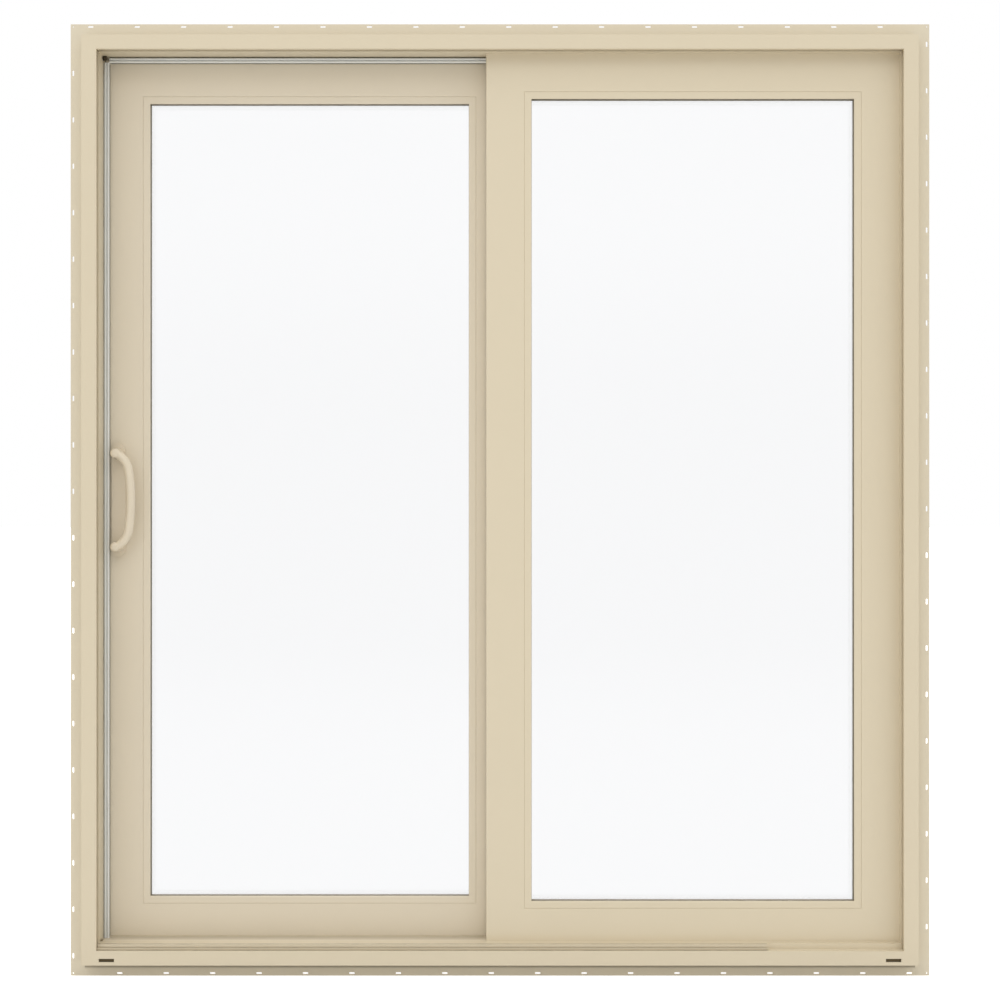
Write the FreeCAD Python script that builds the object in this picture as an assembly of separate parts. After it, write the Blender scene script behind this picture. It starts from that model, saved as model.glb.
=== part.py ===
# Two-panel sliding patio door seen from outside.
# The fixed panel is on the right, and the sliding panel runs behind it from the left.
# Millimetres. X runs to the right, Y runs into the building and Z up.
# The origin is the middle of the sill nail fin's back face, which lies against the wall.

import FreeCAD
import Part
import math
import os
from FreeCAD import Vector

# Outer frame
FRAME_WIDTH = 1816.0
FRAME_HEIGHT = 2019.0
FRAME_DEPTH = 146.0
JAMB_FACE = 32.0
HEAD_FACE = 31.0

# Nail fins, with a thin tongue pressed into a kerf of the frame
FIN_WIDTH = 31.0
FIN_THICKNESS = 2.0
FIN_SETBACK = 35.0
TONGUE_THICKNESS = 1.2
TONGUE_DEPTH = 8.0
TONGUE_RECESS = 0.4
KERF_CLEARANCE = 0.1

# Nail slots, each row starting at a small round hole in its own corner
SLOT_PITCH = 101.6
SLOT_LENGTH = 12.0
SLOT_WIDTH = 4.0
SLOT_INSET = 5.5
SLOTS_ACROSS = 18
SLOTS_UP = 20
CORNER_HOLE_RADIUS = 1.5

# Panels
STILE_WIDTH = 99.5
RAIL_WIDTH = 99.0
PANEL_THICKNESS = 42.0
MEETING_OVERLAP = 61.0
PANEL_EDGE_RADIUS = 3.0

# Depths behind the exterior face
FIXED_PANEL_SETBACK = 42.0
PANEL_GAP = 5.0
POCKET_CLEARANCE = 1.5

# Sill heights above the frame's bottom
SILL_SEAT = 31.0
SILL_TOP = 42.5
SILL_POCKET_FLOOR = 22.0
SILL_RISER = 60.0
WEEP_LENGTH = 33.4
WEEP_HEIGHT = 7.4
WEEP_DEPTH = 24.0
WEEP_INSET = 22.5
WEEP_CENTRE_HEIGHT = 11.0

# Screen track on the sill's front shelf
SCREEN_SHELF_DEPTH = 21.0
SCREEN_TRACK_LENGTH = 1458.0
SCREEN_LIP_WIDTH = 1.6
SCREEN_LIP_HEIGHT = 0.8
SCREEN_BASE_THICKNESS = 0.6
SCREEN_RAIL_INSET = 6.5
SCREEN_RAIL_WIDTH = 3.2
SCREEN_RAIL_HEIGHT = 5.4
SCREEN_RAIL_HEAD = 2.2
SCREEN_NOSE_INSET = 13.8
SCREEN_NOSE_DEPTH = 6.4
SCREEN_UNDERCUT = 1.6

# Pockets, grooves and stops of the head and jambs
HEAD_POCKET = 13.0
JAMB_POCKET = 6.0
INTERIOR_LIP = 8.0
SCREEN_GROOVE_START = 9.5
SCREEN_GROOVE_WIDTH = 14.0
SCREEN_GROOVE_DEPTH = 3.8

# Grey weatherstrips in front of the sliding panel
STRIP_WIDTH = 10.0
STRIP_STANDOFF = 3.0
STRIP_DEPTH = 6.0
STRIP_FRONT = 67.0
STRIP_LEG = 8.0
STRIP_GROOVE_WIDTH = 2.4
STRIP_GROOVE_DEPTH = 4.0
STRIP_EDGE_RADIUS = 1.2
JAMB_STRIP_STOP = 12.7
STRIP_CORNER_GAP = 0.5
STRIP_PANEL_GAP = 0.3

# Insulated glass and its beads
GLASS_THICKNESS = 3.0
SPACER_DEPTH = 13.0
SPACER_WIDTH = 6.0
GLASS_BITE = 12.0
GLASS_EDGE_CLEARANCE = 2.0
GLASS_SETBACK = 16.5
INNER_LIP_SETBACK = 5.5
BEAD_WIDTH = 16.0
BEAD_CHAMFER = 0.9
BEAD_EDGE_RADIUS = 2.0

# Roller track and rollers
TRACK_RIB_WIDTH = 3.0
TRACK_RIB_HEIGHT = 5.0
TRACK_BASE_WIDTH = 24.0
TRACK_BASE_THICKNESS = 1.2
WHEEL_RADIUS = 16.0
WHEEL_WIDTH = 9.0
WHEEL_GROOVE_DEPTH = 1.5
WHEEL_GROOVE_WIDTH = 4.0
AXLE_RADIUS = 3.0
RUNNING_GAP = 0.3
CARRIAGE_LENGTH = 80.0
CARRIAGE_WIDTH = 16.0
CARRIAGE_HEIGHT = 36.0
CARRIAGE_INSET = 70.0
WHEEL_SIDE_GAP = 0.5

# Head guide rail and travel bumper
GUIDE_RIB_WIDTH = 3.0
GUIDE_RIB_REACH = 9.0
GUIDE_BASE_WIDTH = 20.0
GUIDE_BASE_THICKNESS = 1.2
GUIDE_SIDE_GAP = 0.5
GUIDE_GROOVE_DEPTH = 12.0
OPEN_STANDOFF = 80.5
BUMPER_LENGTH = 20.0
BUMPER_WIDTH = 24.0
BUMPER_DROP = 33.0
RAIL_END_GAP = 0.8

# Meeting strip between the two centre stiles
MEETING_STRIP_WIDTH = 8.0
MEETING_STRIP_INSET = 12.0

# Handles on the lock stile
HANDLE_EDGE_GAP = 14.5
PLATE_HALF_HEIGHT = 126.0
PLATE_END_RADIUS = 15.5
PLATE_THICKNESS = 4.0
ROSE_THICKNESS = 6.0
GRIP_RADIUS = 9.5
GRIP_PROJECTION = 45.0
GRIP_HALF_SPAN = 103.0
GRIP_BOW = 34.0
GRIP_SHOULDER = 37.0
GRIP_SHOULDER_BOW = 29.0
POST_FOOT_RADIUS = 12.5
POST_RADIUS = 10.5
POST_DOME = 6.0

# Lock parts
FACEPLATE_HEIGHT = 220.0
FACEPLATE_WIDTH = 22.0
FACEPLATE_THICKNESS = 2.0
BOLT_SLOT_HEIGHT = 40.0
BOLT_SLOT_WIDTH = 7.0
KEEPER_HEIGHT = 150.0
KEEPER_WIDTH = 26.0
KEEPER_THICKNESS = 2.5
KEEPER_SLOT_HEIGHT = 60.0

# Places worked out from the sizes
FRONT = -FIN_SETBACK
BACK = FRONT + FRAME_DEPTH
HALF_WIDTH = FRAME_WIDTH / 2
BOTTOM = FIN_WIDTH / 2
TOP = BOTTOM + FRAME_HEIGHT
MIDDLE = (BOTTOM + TOP) / 2
REVEAL_X = HALF_WIDTH - JAMB_FACE
REVEAL_TOP = TOP - HEAD_FACE
FIN_FRONT = -FIN_THICKNESS

PANEL_BOTTOM = BOTTOM + SILL_SEAT
PANEL_TOP = REVEAL_TOP
FIXED_FRONT = FRONT + FIXED_PANEL_SETBACK
FIXED_BACK = FIXED_FRONT + PANEL_THICKNESS
SLIDING_FRONT = FIXED_BACK + PANEL_GAP
SLIDING_BACK = SLIDING_FRONT + PANEL_THICKNESS
POCKET_FRONT = SLIDING_FRONT - POCKET_CLEARANCE
POCKET_BACK = SLIDING_BACK + POCKET_CLEARANCE
RUN_Y = (SLIDING_FRONT + SLIDING_BACK) / 2

MEETING_EDGE = MEETING_OVERLAP / 2
PANEL_WIDTH = REVEAL_X + MEETING_EDGE
FIXED_LEFT = -MEETING_EDGE
SLIDING_LEFT = -REVEAL_X
TRAVEL = REVEAL_X - OPEN_STANDOFF - MEETING_EDGE
GLASS_STACK = 2 * GLASS_THICKNESS + SPACER_DEPTH

SILL_SEAT_Z = BOTTOM + SILL_SEAT
SILL_TOP_Z = BOTTOM + SILL_TOP
POCKET_FLOOR_Z = BOTTOM + SILL_POCKET_FLOOR
RISER_Z = BOTTOM + SILL_RISER
POCKET_CEILING_Z = REVEAL_TOP + HEAD_POCKET
LIP_TOP_Z = REVEAL_TOP - INTERIOR_LIP
STRIP_FRONT_Y = FRONT + STRIP_FRONT
STRIP_BACK_Y = SLIDING_FRONT - STRIP_PANEL_GAP


def box(x0, x1, y0, y1, z0, z1):
    """A box between two corners."""
    return Part.makeBox(x1 - x0, y1 - y0, z1 - z0, Vector(x0, y0, z0))


def cylinder(radius, start, axis, length):
    """A round bar from a start point along an axis."""
    return Part.makeCylinder(radius, length, start, axis)


def prism(points, along):
    """A solid with the given outline, pushed along a vector."""
    outline = [Vector(*p) for p in points]
    face = Part.Face(Part.makePolygon(outline + outline[:1]))
    return face.extrude(along)


def rounded(solid, radius, wanted):
    """The solid with a fillet on each edge whose middle passes the test."""
    edges = [e for e in solid.Edges if wanted(e)]
    return solid.makeFillet(radius, edges)


def on_line(edge, **place):
    """True for an edge that lies on the line given by two of x, y and z."""
    ends = [v.Point for v in edge.Vertexes]
    return len(ends) == 2 and all(
        abs(getattr(p, axis) - value) < 0.01 for p in ends for axis, value in place.items()
    )


def save(name, *solids):
    """One file for each named piece."""
    shape = solids[0] if len(solids) == 1 else Part.makeCompound(list(solids))
    shape.exportStep(f"parts/{name}.step")


def kerf(x0, x1, z0, z1):
    """The slit of a frame member that takes a fin's tongue."""
    front = FIN_FRONT + TONGUE_RECESS - KERF_CLEARANCE
    return box(x0, x1, front, 0, z0, z1)


def tongue(x0, x1, z0, z1):
    """The thin edge of a nail fin that goes into the kerf."""
    front = FIN_FRONT + TONGUE_RECESS
    return box(x0, x1, front, front + TONGUE_THICKNESS, z0, z1)


def make_sill():
    """The sill between the jambs: the front with its channel, the rollers' channel and the riser."""
    outline = [
        (FRONT, BOTTOM),
        (POCKET_FRONT, BOTTOM),
        (POCKET_FRONT, SILL_TOP_Z),
        (FIXED_BACK, SILL_TOP_Z),
        (FIXED_BACK, SILL_SEAT_Z),
        (FIXED_FRONT, SILL_SEAT_Z),
        (FIXED_FRONT, SILL_TOP_Z),
        (FRONT + SCREEN_SHELF_DEPTH, SILL_TOP_Z),
        (FRONT + SCREEN_SHELF_DEPTH, SILL_SEAT_Z),
        (FRONT, SILL_SEAT_Z),
    ]
    sill = prism([(-REVEAL_X, y, z) for y, z in outline], Vector(2 * REVEAL_X, 0, 0))
    slit = TONGUE_DEPTH + KERF_CLEARANCE
    sill = sill.cut(kerf(-REVEAL_X, REVEAL_X, BOTTOM, BOTTOM + slit))
    middle = REVEAL_X - WEEP_INSET
    low = BOTTOM + WEEP_CENTRE_HEIGHT - WEEP_HEIGHT / 2
    for centre in (-middle, middle):
        x0 = centre - WEEP_LENGTH / 2
        weep = box(x0, x0 + WEEP_LENGTH, FRONT, FRONT + WEEP_DEPTH, low, low + WEEP_HEIGHT)
        sill = sill.cut(weep)
    save("sill", sill)
    channel = box(-REVEAL_X, REVEAL_X, POCKET_FRONT, POCKET_BACK, BOTTOM, POCKET_FLOOR_Z)
    save("sill_roller_channel", channel)
    save("sill_riser", box(-REVEAL_X, REVEAL_X, POCKET_BACK, BACK, BOTTOM, RISER_Z))


def make_head():
    """The head between the jambs, with the sliding panel's pocket and the interior lip."""
    groove_z = REVEAL_TOP + SCREEN_GROOVE_DEPTH
    screen_y = FRONT + SCREEN_GROOVE_START
    outline = [
        (FRONT, TOP),
        (FRONT, REVEAL_TOP),
        (screen_y, REVEAL_TOP),
        (screen_y, groove_z),
        (screen_y + SCREEN_GROOVE_WIDTH, groove_z),
        (screen_y + SCREEN_GROOVE_WIDTH, REVEAL_TOP),
        (POCKET_FRONT, REVEAL_TOP),
        (POCKET_FRONT, POCKET_CEILING_Z),
        (POCKET_BACK, POCKET_CEILING_Z),
        (POCKET_BACK, LIP_TOP_Z),
        (BACK, LIP_TOP_Z),
        (BACK, TOP),
    ]
    head = prism([(-REVEAL_X, y, z) for y, z in outline], Vector(2 * REVEAL_X, 0, 0))
    slit = TONGUE_DEPTH + KERF_CLEARANCE
    save("head", head.cut(kerf(-REVEAL_X, REVEAL_X, TOP - slit, TOP)))


def make_jamb(side):
    """A jamb over the frame's full height and its inner stop: side is -1 on the left."""

    def block(out, inner, y0, y1, z0, z1):
        ends = sorted((side * out, side * inner))
        return box(*ends, y0, y1, z0, z1)

    jamb = block(HALF_WIDTH, REVEAL_X, FRONT, BACK, BOTTOM, TOP)
    pocket = REVEAL_X + JAMB_POCKET
    jamb = jamb.cut(
        block(pocket, REVEAL_X, POCKET_FRONT, POCKET_BACK, POCKET_FLOOR_Z, POCKET_CEILING_Z)
    )
    groove = REVEAL_X + SCREEN_GROOVE_DEPTH
    groove_top = REVEAL_TOP + SCREEN_GROOVE_DEPTH
    screen_y = FRONT + SCREEN_GROOVE_START
    screen_back = screen_y + SCREEN_GROOVE_WIDTH
    jamb = jamb.cut(block(groove, REVEAL_X, screen_y, screen_back, SILL_SEAT_Z, groove_top))
    slit = TONGUE_DEPTH + KERF_CLEARANCE
    ends = sorted((side * (HALF_WIDTH - slit), side * HALF_WIDTH))
    jamb = jamb.cut(kerf(*ends, BOTTOM, TOP))
    stop = block(REVEAL_X, REVEAL_X - INTERIOR_LIP, POCKET_BACK, BACK, RISER_Z, LIP_TOP_Z)
    name = "left_jamb" if side < 0 else "right_jamb"
    save(name, jamb)
    save(f"{name}_stop", stop)


def nail_slot(x, z, upright):
    """The cutter of one nail slot through a fin."""
    reach = SLOT_LENGTH / 2 - SLOT_WIDTH / 2
    half = SLOT_WIDTH / 2
    wide, tall = (half, reach) if upright else (reach, half)
    cutter = box(x - wide, x + wide, FIN_FRONT, 0, z - tall, z + tall)
    for sign in (-1, 1):
        dx, dz = (0, sign * reach) if upright else (sign * reach, 0)
        end = cylinder(half, Vector(x + dx, FIN_FRONT, z + dz), Vector(0, 1, 0), FIN_THICKNESS)
        cutter = cutter.fuse(end)
    return cutter


def make_nail_fins():
    """The four fins: those at the sides run past the corners and hold the corner holes."""
    outer_x = HALF_WIDTH + FIN_WIDTH
    outer_top = TOP + FIN_WIDTH
    outer_bottom = BOTTOM - FIN_WIDTH
    row_x = outer_x - SLOT_INSET
    row_top = outer_top - SLOT_INSET
    row_bottom = outer_bottom + SLOT_INSET
    for side in (-1, 1):
        x0, x1 = sorted((side * HALF_WIDTH, side * outer_x))
        fin = box(x0, x1, FIN_FRONT, 0, outer_bottom, outer_top)
        edge = sorted((side * (HALF_WIDTH - TONGUE_DEPTH), side * HALF_WIDTH))
        fin = fin.fuse(tongue(*edge, BOTTOM, TOP)).removeSplitter()
        start = row_top if side < 0 else row_bottom
        for k in range(1, SLOTS_UP + 1):
            fin = fin.cut(nail_slot(side * row_x, start + side * k * SLOT_PITCH, True))
        for z in (row_bottom, row_top):
            hole = cylinder(
                CORNER_HOLE_RADIUS, Vector(side * row_x, FIN_FRONT, z), Vector(0, 1, 0), FIN_THICKNESS
            )
            fin = fin.cut(hole)
        save("left_nail_fin" if side < 0 else "right_nail_fin", fin)
    for name, side, z0, z1, row in (
        ("sill_nail_fin", 1, outer_bottom, BOTTOM, row_bottom),
        ("head_nail_fin", -1, TOP, outer_top, row_top),
    ):
        fin = box(-HALF_WIDTH, HALF_WIDTH, FIN_FRONT, 0, z0, z1)
        inner = z1 if side > 0 else z0
        depth = sorted((inner, inner + side * TONGUE_DEPTH))
        fin = fin.fuse(tongue(-REVEAL_X, REVEAL_X, *depth)).removeSplitter()
        for k in range(1, SLOTS_ACROSS + 1):
            fin = fin.cut(nail_slot(side * (k * SLOT_PITCH - row_x), row, False))
        save(name, fin)


def make_screen_track():
    """The strip on the sill's front shelf: a low lip, a headed rail and an overhanging nose."""
    seat = SILL_SEAT_Z
    base = seat + SCREEN_BASE_THICKNESS
    lip_y = FRONT + SCREEN_LIP_WIDTH
    rail_y = FRONT + SCREEN_RAIL_INSET
    rail_back = rail_y + SCREEN_RAIL_WIDTH
    rail_top = seat + SCREEN_RAIL_HEIGHT
    nose_y = FRONT + SCREEN_NOSE_INSET
    back = FRONT + SCREEN_SHELF_DEPTH
    outline = [
        (FRONT, seat),
        (FRONT, seat + SCREEN_LIP_HEIGHT),
        (lip_y, seat + SCREEN_LIP_HEIGHT),
        (lip_y, base),
        (rail_y + SCREEN_UNDERCUT, base),
        (rail_y + SCREEN_UNDERCUT, rail_top - SCREEN_RAIL_HEAD),
        (rail_y, rail_top - SCREEN_RAIL_HEAD),
        (rail_y, rail_top),
        (rail_back, rail_top),
        (rail_back, base),
        (nose_y + SCREEN_UNDERCUT, base),
        (nose_y + SCREEN_UNDERCUT, SILL_TOP_Z - SCREEN_NOSE_DEPTH),
        (nose_y, SILL_TOP_Z - SCREEN_NOSE_DEPTH),
        (nose_y, SILL_TOP_Z),
        (back, SILL_TOP_Z),
        (back, seat),
    ]
    track = prism([(-REVEAL_X, y, z) for y, z in outline], Vector(SCREEN_TRACK_LENGTH, 0, 0))
    save("screen_track", track)


def make_sill_cover():
    """The infill of the fixed panel's channel where there is no panel."""
    end = FIXED_LEFT - STRIP_CORNER_GAP
    save("sill_cover", box(-REVEAL_X, end, FIXED_FRONT, FIXED_BACK, SILL_SEAT_Z, SILL_TOP_Z))


def strip_outline():
    """A weatherstrip's section as pairs of standoff from the reveal and Y."""
    near = STRIP_STANDOFF
    far = STRIP_STANDOFF + STRIP_WIDTH
    mid = (near + far) / 2
    half = STRIP_GROOVE_WIDTH / 2
    front = STRIP_FRONT_Y
    floor = front + STRIP_GROOVE_DEPTH
    shoulder = front + STRIP_DEPTH
    edge = STRIP_EDGE_RADIUS
    return [
        (near, shoulder),
        (near, front + edge),
        (near + edge, front),
        (mid - half - edge, front),
        (mid - half, front + edge),
        (mid - half, floor),
        (mid + half, floor),
        (mid + half, front + edge),
        (mid + half + edge, front),
        (far - edge, front),
        (far, front + edge),
        (far, shoulder),
        (STRIP_LEG, shoulder),
        (STRIP_LEG, STRIP_BACK_Y),
        (0, STRIP_BACK_Y),
        (0, shoulder),
    ]


def make_weatherstrips():
    """The two grey strips that close the gap in front of the sliding panel."""
    section = strip_outline()
    foot = [(-REVEAL_X + t, y, SILL_TOP_Z) for t, y in section]
    height = REVEAL_TOP - JAMB_STRIP_STOP - SILL_TOP_Z
    save("jamb_weatherstrip", prism(foot, Vector(0, 0, height)))
    start = -REVEAL_X + STRIP_STANDOFF + STRIP_WIDTH + STRIP_CORNER_GAP
    end = [(start, y, REVEAL_TOP - t) for t, y in section]
    save("head_weatherstrip", prism(end, Vector(FIXED_LEFT - start, 0, 0)))


def member_section():
    """A stile's or rail's section as pairs of distance from the glass opening and depth."""
    rebate = BEAD_WIDTH
    return [
        (rebate, GLASS_SETBACK),
        (GLASS_BITE, GLASS_SETBACK),
        (GLASS_BITE, GLASS_SETBACK + GLASS_STACK),
        (INNER_LIP_SETBACK, GLASS_SETBACK + GLASS_STACK),
        (INNER_LIP_SETBACK, PANEL_THICKNESS),
    ]


def make_stile(left, front, side):
    """One stile over the panel's full height: side is -1 for the left one."""
    outer = left if side < 0 else left + PANEL_WIDTH
    opening = outer - side * STILE_WIDTH
    points = [(outer, front), (opening + side * BEAD_WIDTH, front)]
    points += [(opening + side * t, front + d) for t, d in member_section()]
    points += [(outer, front + PANEL_THICKNESS)]
    stile = prism([(x, y, PANEL_BOTTOM) for x, y in points], Vector(0, 0, PANEL_TOP - PANEL_BOTTOM))
    return stile, outer


def make_rail(left, front, side):
    """One rail between the stiles: side is -1 for the bottom one."""
    outer = PANEL_BOTTOM if side < 0 else PANEL_TOP
    opening = outer - side * RAIL_WIDTH
    points = [(outer, front), (opening + side * BEAD_WIDTH, front)]
    points += [(opening + side * t, front + d) for t, d in member_section()]
    points += [(outer, front + PANEL_THICKNESS)]
    start = left + STILE_WIDTH
    length = PANEL_WIDTH - 2 * STILE_WIDTH
    return prism([(start, y, z) for y, z in [(d, u) for u, d in points]], Vector(length, 0, 0))


def corner_filler(left, front, side):
    """Fills a stile's steps past the glass, where a rail meets it."""
    opening = left + STILE_WIDTH if side < 0 else left + PANEL_WIDTH - STILE_WIDTH
    glass_front = front + GLASS_SETBACK
    glass_back = glass_front + GLASS_STACK
    blocks = []
    for reach, y0, y1 in (
        (BEAD_WIDTH, front, glass_front),
        (GLASS_BITE, glass_front, glass_back),
        (INNER_LIP_SETBACK, glass_back, front + PANEL_THICKNESS),
    ):
        x0, x1 = sorted((opening, opening + side * reach))
        blocks.append(box(x0, x1, y0, y1, PANEL_BOTTOM, PANEL_BOTTOM + RAIL_WIDTH - reach))
        blocks.append(box(x0, x1, y0, y1, PANEL_TOP - RAIL_WIDTH + reach, PANEL_TOP))
    return blocks


def make_beads(name, left, front):
    """Four mitred beads that hold the glass from outside."""
    x0 = left + STILE_WIDTH - BEAD_WIDTH
    x1 = left + PANEL_WIDTH - STILE_WIDTH + BEAD_WIDTH
    z0 = PANEL_BOTTOM + RAIL_WIDTH - BEAD_WIDTH
    z1 = PANEL_TOP - RAIL_WIDTH + BEAD_WIDTH
    back = front + GLASS_SETBACK
    w = BEAD_WIDTH
    trapezoids = {
        "bottom_bead": [(x0, z0), (x1, z0), (x1 - w, z0 + w), (x0 + w, z0 + w)],
        "top_bead": [(x0, z1), (x1, z1), (x1 - w, z1 - w), (x0 + w, z1 - w)],
        "left_bead": [(x0, z0), (x0, z1), (x0 + w, z1 - w), (x0 + w, z0 + w)],
        "right_bead": [(x1, z0), (x1, z1), (x1 - w, z1 - w), (x1 - w, z0 + w)],
    }
    for bead, corners in trapezoids.items():
        solid = prism([(x, front, z) for x, z in corners], Vector(0, back - front, 0))
        outer, inner = corners[:2], corners[2:]
        solid = solid.makeChamfer(BEAD_CHAMFER, [e for e in solid.Edges if joins(e, outer, front)])
        solid = solid.makeFillet(BEAD_EDGE_RADIUS, [e for e in solid.Edges if joins(e, inner, front)])
        save(f"{name}_{bead}", solid)


def joins(edge, corners, y):
    """True for a straight edge in the plane y whose ends lie on the line through two corners."""
    (ax, az), (bx, bz) = corners
    for vertex in edge.Vertexes:
        p = vertex.Point
        off = (bx - ax) * (p.z - az) - (bz - az) * (p.x - ax)
        if abs(p.y - y) > 0.01 or abs(off) > 0.01 * math.hypot(bx - ax, bz - az):
            return False
    return True


def make_glass(name, left, front):
    """Two panes and the spacer between them."""
    edge = GLASS_BITE - GLASS_EDGE_CLEARANCE
    x0 = left + STILE_WIDTH - edge
    x1 = left + PANEL_WIDTH - STILE_WIDTH + edge
    z0 = PANEL_BOTTOM + RAIL_WIDTH - edge
    z1 = PANEL_TOP - RAIL_WIDTH + edge
    y0 = front + GLASS_SETBACK
    y1 = y0 + GLASS_THICKNESS
    y2 = y1 + SPACER_DEPTH
    outer = box(x0, x1, y0, y1, z0, z1)
    inner = box(x0, x1, y2, y2 + GLASS_THICKNESS, z0, z1)
    save(f"{name}_glass", outer, inner)
    w = SPACER_WIDTH
    spacer = box(x0, x1, y1, y2, z0, z1).cut(box(x0 + w, x1 - w, y1, y2, z0 + w, z1 - w))
    save(f"{name}_glass_spacer", spacer)


def make_fixed_panel():
    """The panel in front on the right, seated in the frame."""
    for side, name in ((-1, "left"), (1, "right")):
        stile, outer = make_stile(FIXED_LEFT, FIXED_FRONT, side)
        for block in corner_filler(FIXED_LEFT, FIXED_FRONT, side):
            stile = stile.fuse(block)
        stile = stile.removeSplitter()
        if side < 0:
            stile = rounded(stile, PANEL_EDGE_RADIUS, lambda e: on_line(e, x=outer, y=FIXED_FRONT))
        save(f"fixed_{name}_stile", stile)
    save("fixed_bottom_rail", make_rail(FIXED_LEFT, FIXED_FRONT, -1))
    save("fixed_top_rail", make_rail(FIXED_LEFT, FIXED_FRONT, 1))
    make_beads("fixed", FIXED_LEFT, FIXED_FRONT)
    make_glass("fixed", FIXED_LEFT, FIXED_FRONT)
    x0 = FIXED_LEFT + MEETING_STRIP_INSET
    strip = box(
        x0, x0 + MEETING_STRIP_WIDTH, FIXED_BACK, SLIDING_FRONT - RUNNING_GAP, SILL_TOP_Z, PANEL_TOP
    )
    save("meeting_weatherstrip", strip)


def carriage_centres():
    """Where the two roller carriages sit along the bottom rail."""
    left = SLIDING_LEFT + STILE_WIDTH + CARRIAGE_INSET
    right = SLIDING_LEFT + PANEL_WIDTH - STILE_WIDTH - CARRIAGE_INSET
    return left, right


def make_sliding_panel():
    """The panel behind on the left, with its guide groove, carriages and lock faceplate."""
    half = GUIDE_RIB_WIDTH / 2 + GUIDE_SIDE_GAP
    right = SLIDING_LEFT + PANEL_WIDTH
    groove = box(
        SLIDING_LEFT, right, RUN_Y - half, RUN_Y + half, PANEL_TOP - GUIDE_GROOVE_DEPTH, PANEL_TOP
    )
    for side, name in ((-1, "left"), (1, "right")):
        stile, outer = make_stile(SLIDING_LEFT, SLIDING_FRONT, side)
        for block in corner_filler(SLIDING_LEFT, SLIDING_FRONT, side):
            stile = stile.fuse(block)
        stile = stile.removeSplitter()
        if side < 0:
            stile = stile.cut(faceplate_block())
        stile = stile.cut(groove)
        save(f"sliding_{name}_stile", stile)
    rail = make_rail(SLIDING_LEFT, SLIDING_FRONT, -1)
    wide = CARRIAGE_WIDTH / 2
    for x in carriage_centres():
        reach = CARRIAGE_LENGTH / 2
        pocket = box(
            x - reach, x + reach, RUN_Y - wide, RUN_Y + wide, PANEL_BOTTOM, PANEL_BOTTOM + CARRIAGE_HEIGHT
        )
        rail = rail.cut(pocket)
    save("sliding_bottom_rail", rail)
    save("sliding_top_rail", make_rail(SLIDING_LEFT, SLIDING_FRONT, 1).cut(groove))
    make_beads("sliding", SLIDING_LEFT, SLIDING_FRONT)
    make_glass("sliding", SLIDING_LEFT, SLIDING_FRONT)
    slot_wide = BOLT_SLOT_WIDTH / 2
    slot_tall = BOLT_SLOT_HEIGHT / 2
    slot = box(
        SLIDING_LEFT,
        SLIDING_LEFT + FACEPLATE_THICKNESS,
        RUN_Y - slot_wide,
        RUN_Y + slot_wide,
        MIDDLE - slot_tall,
        MIDDLE + slot_tall,
    )
    save("lock_faceplate", faceplate_block().cut(slot))


def faceplate_block():
    """The space of the lock faceplate in the lock stile's edge."""
    wide = FACEPLATE_WIDTH / 2
    tall = FACEPLATE_HEIGHT / 2
    end = SLIDING_LEFT + FACEPLATE_THICKNESS
    return box(SLIDING_LEFT, end, RUN_Y - wide, RUN_Y + wide, MIDDLE - tall, MIDDLE + tall)


def make_rollers():
    """Two grooved wheels on the track, each on the axle of its own carriage."""
    groove_radius = WHEEL_RADIUS - WHEEL_GROOVE_DEPTH
    axle_z = POCKET_FLOOR_Z + TRACK_RIB_HEIGHT + RUNNING_GAP + groove_radius
    along = Vector(0, 1, 0)
    wheels = []
    carriages = []
    for x in carriage_centres():
        start = RUN_Y - WHEEL_WIDTH / 2
        wheel = cylinder(WHEEL_RADIUS, Vector(x, start, axle_z), along, WHEEL_WIDTH)
        ring_start = RUN_Y - WHEEL_GROOVE_WIDTH / 2
        ring = cylinder(WHEEL_RADIUS, Vector(x, ring_start, axle_z), along, WHEEL_GROOVE_WIDTH)
        core = cylinder(groove_radius, Vector(x, ring_start, axle_z), along, WHEEL_GROOVE_WIDTH)
        bore = cylinder(AXLE_RADIUS + RUNNING_GAP, Vector(x, start, axle_z), along, WHEEL_WIDTH)
        wheels.append(wheel.cut(ring.cut(core)).cut(bore))
        reach = CARRIAGE_LENGTH / 2
        wide = CARRIAGE_WIDTH / 2
        top = PANEL_BOTTOM + CARRIAGE_HEIGHT
        body = box(x - reach, x + reach, RUN_Y - wide, RUN_Y + wide, PANEL_BOTTOM, top)
        room = WHEEL_RADIUS + 2 * WHEEL_SIDE_GAP
        slot_wide = WHEEL_WIDTH / 2 + WHEEL_SIDE_GAP
        slot = box(x - room, x + room, RUN_Y - slot_wide, RUN_Y + slot_wide, PANEL_BOTTOM, axle_z + room)
        axle = cylinder(AXLE_RADIUS, Vector(x, RUN_Y - wide, axle_z), along, CARRIAGE_WIDTH)
        carriages.append(body.cut(slot).fuse(axle).removeSplitter())
    save("roller_wheels", *wheels)
    save("roller_carriages", *carriages)


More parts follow.
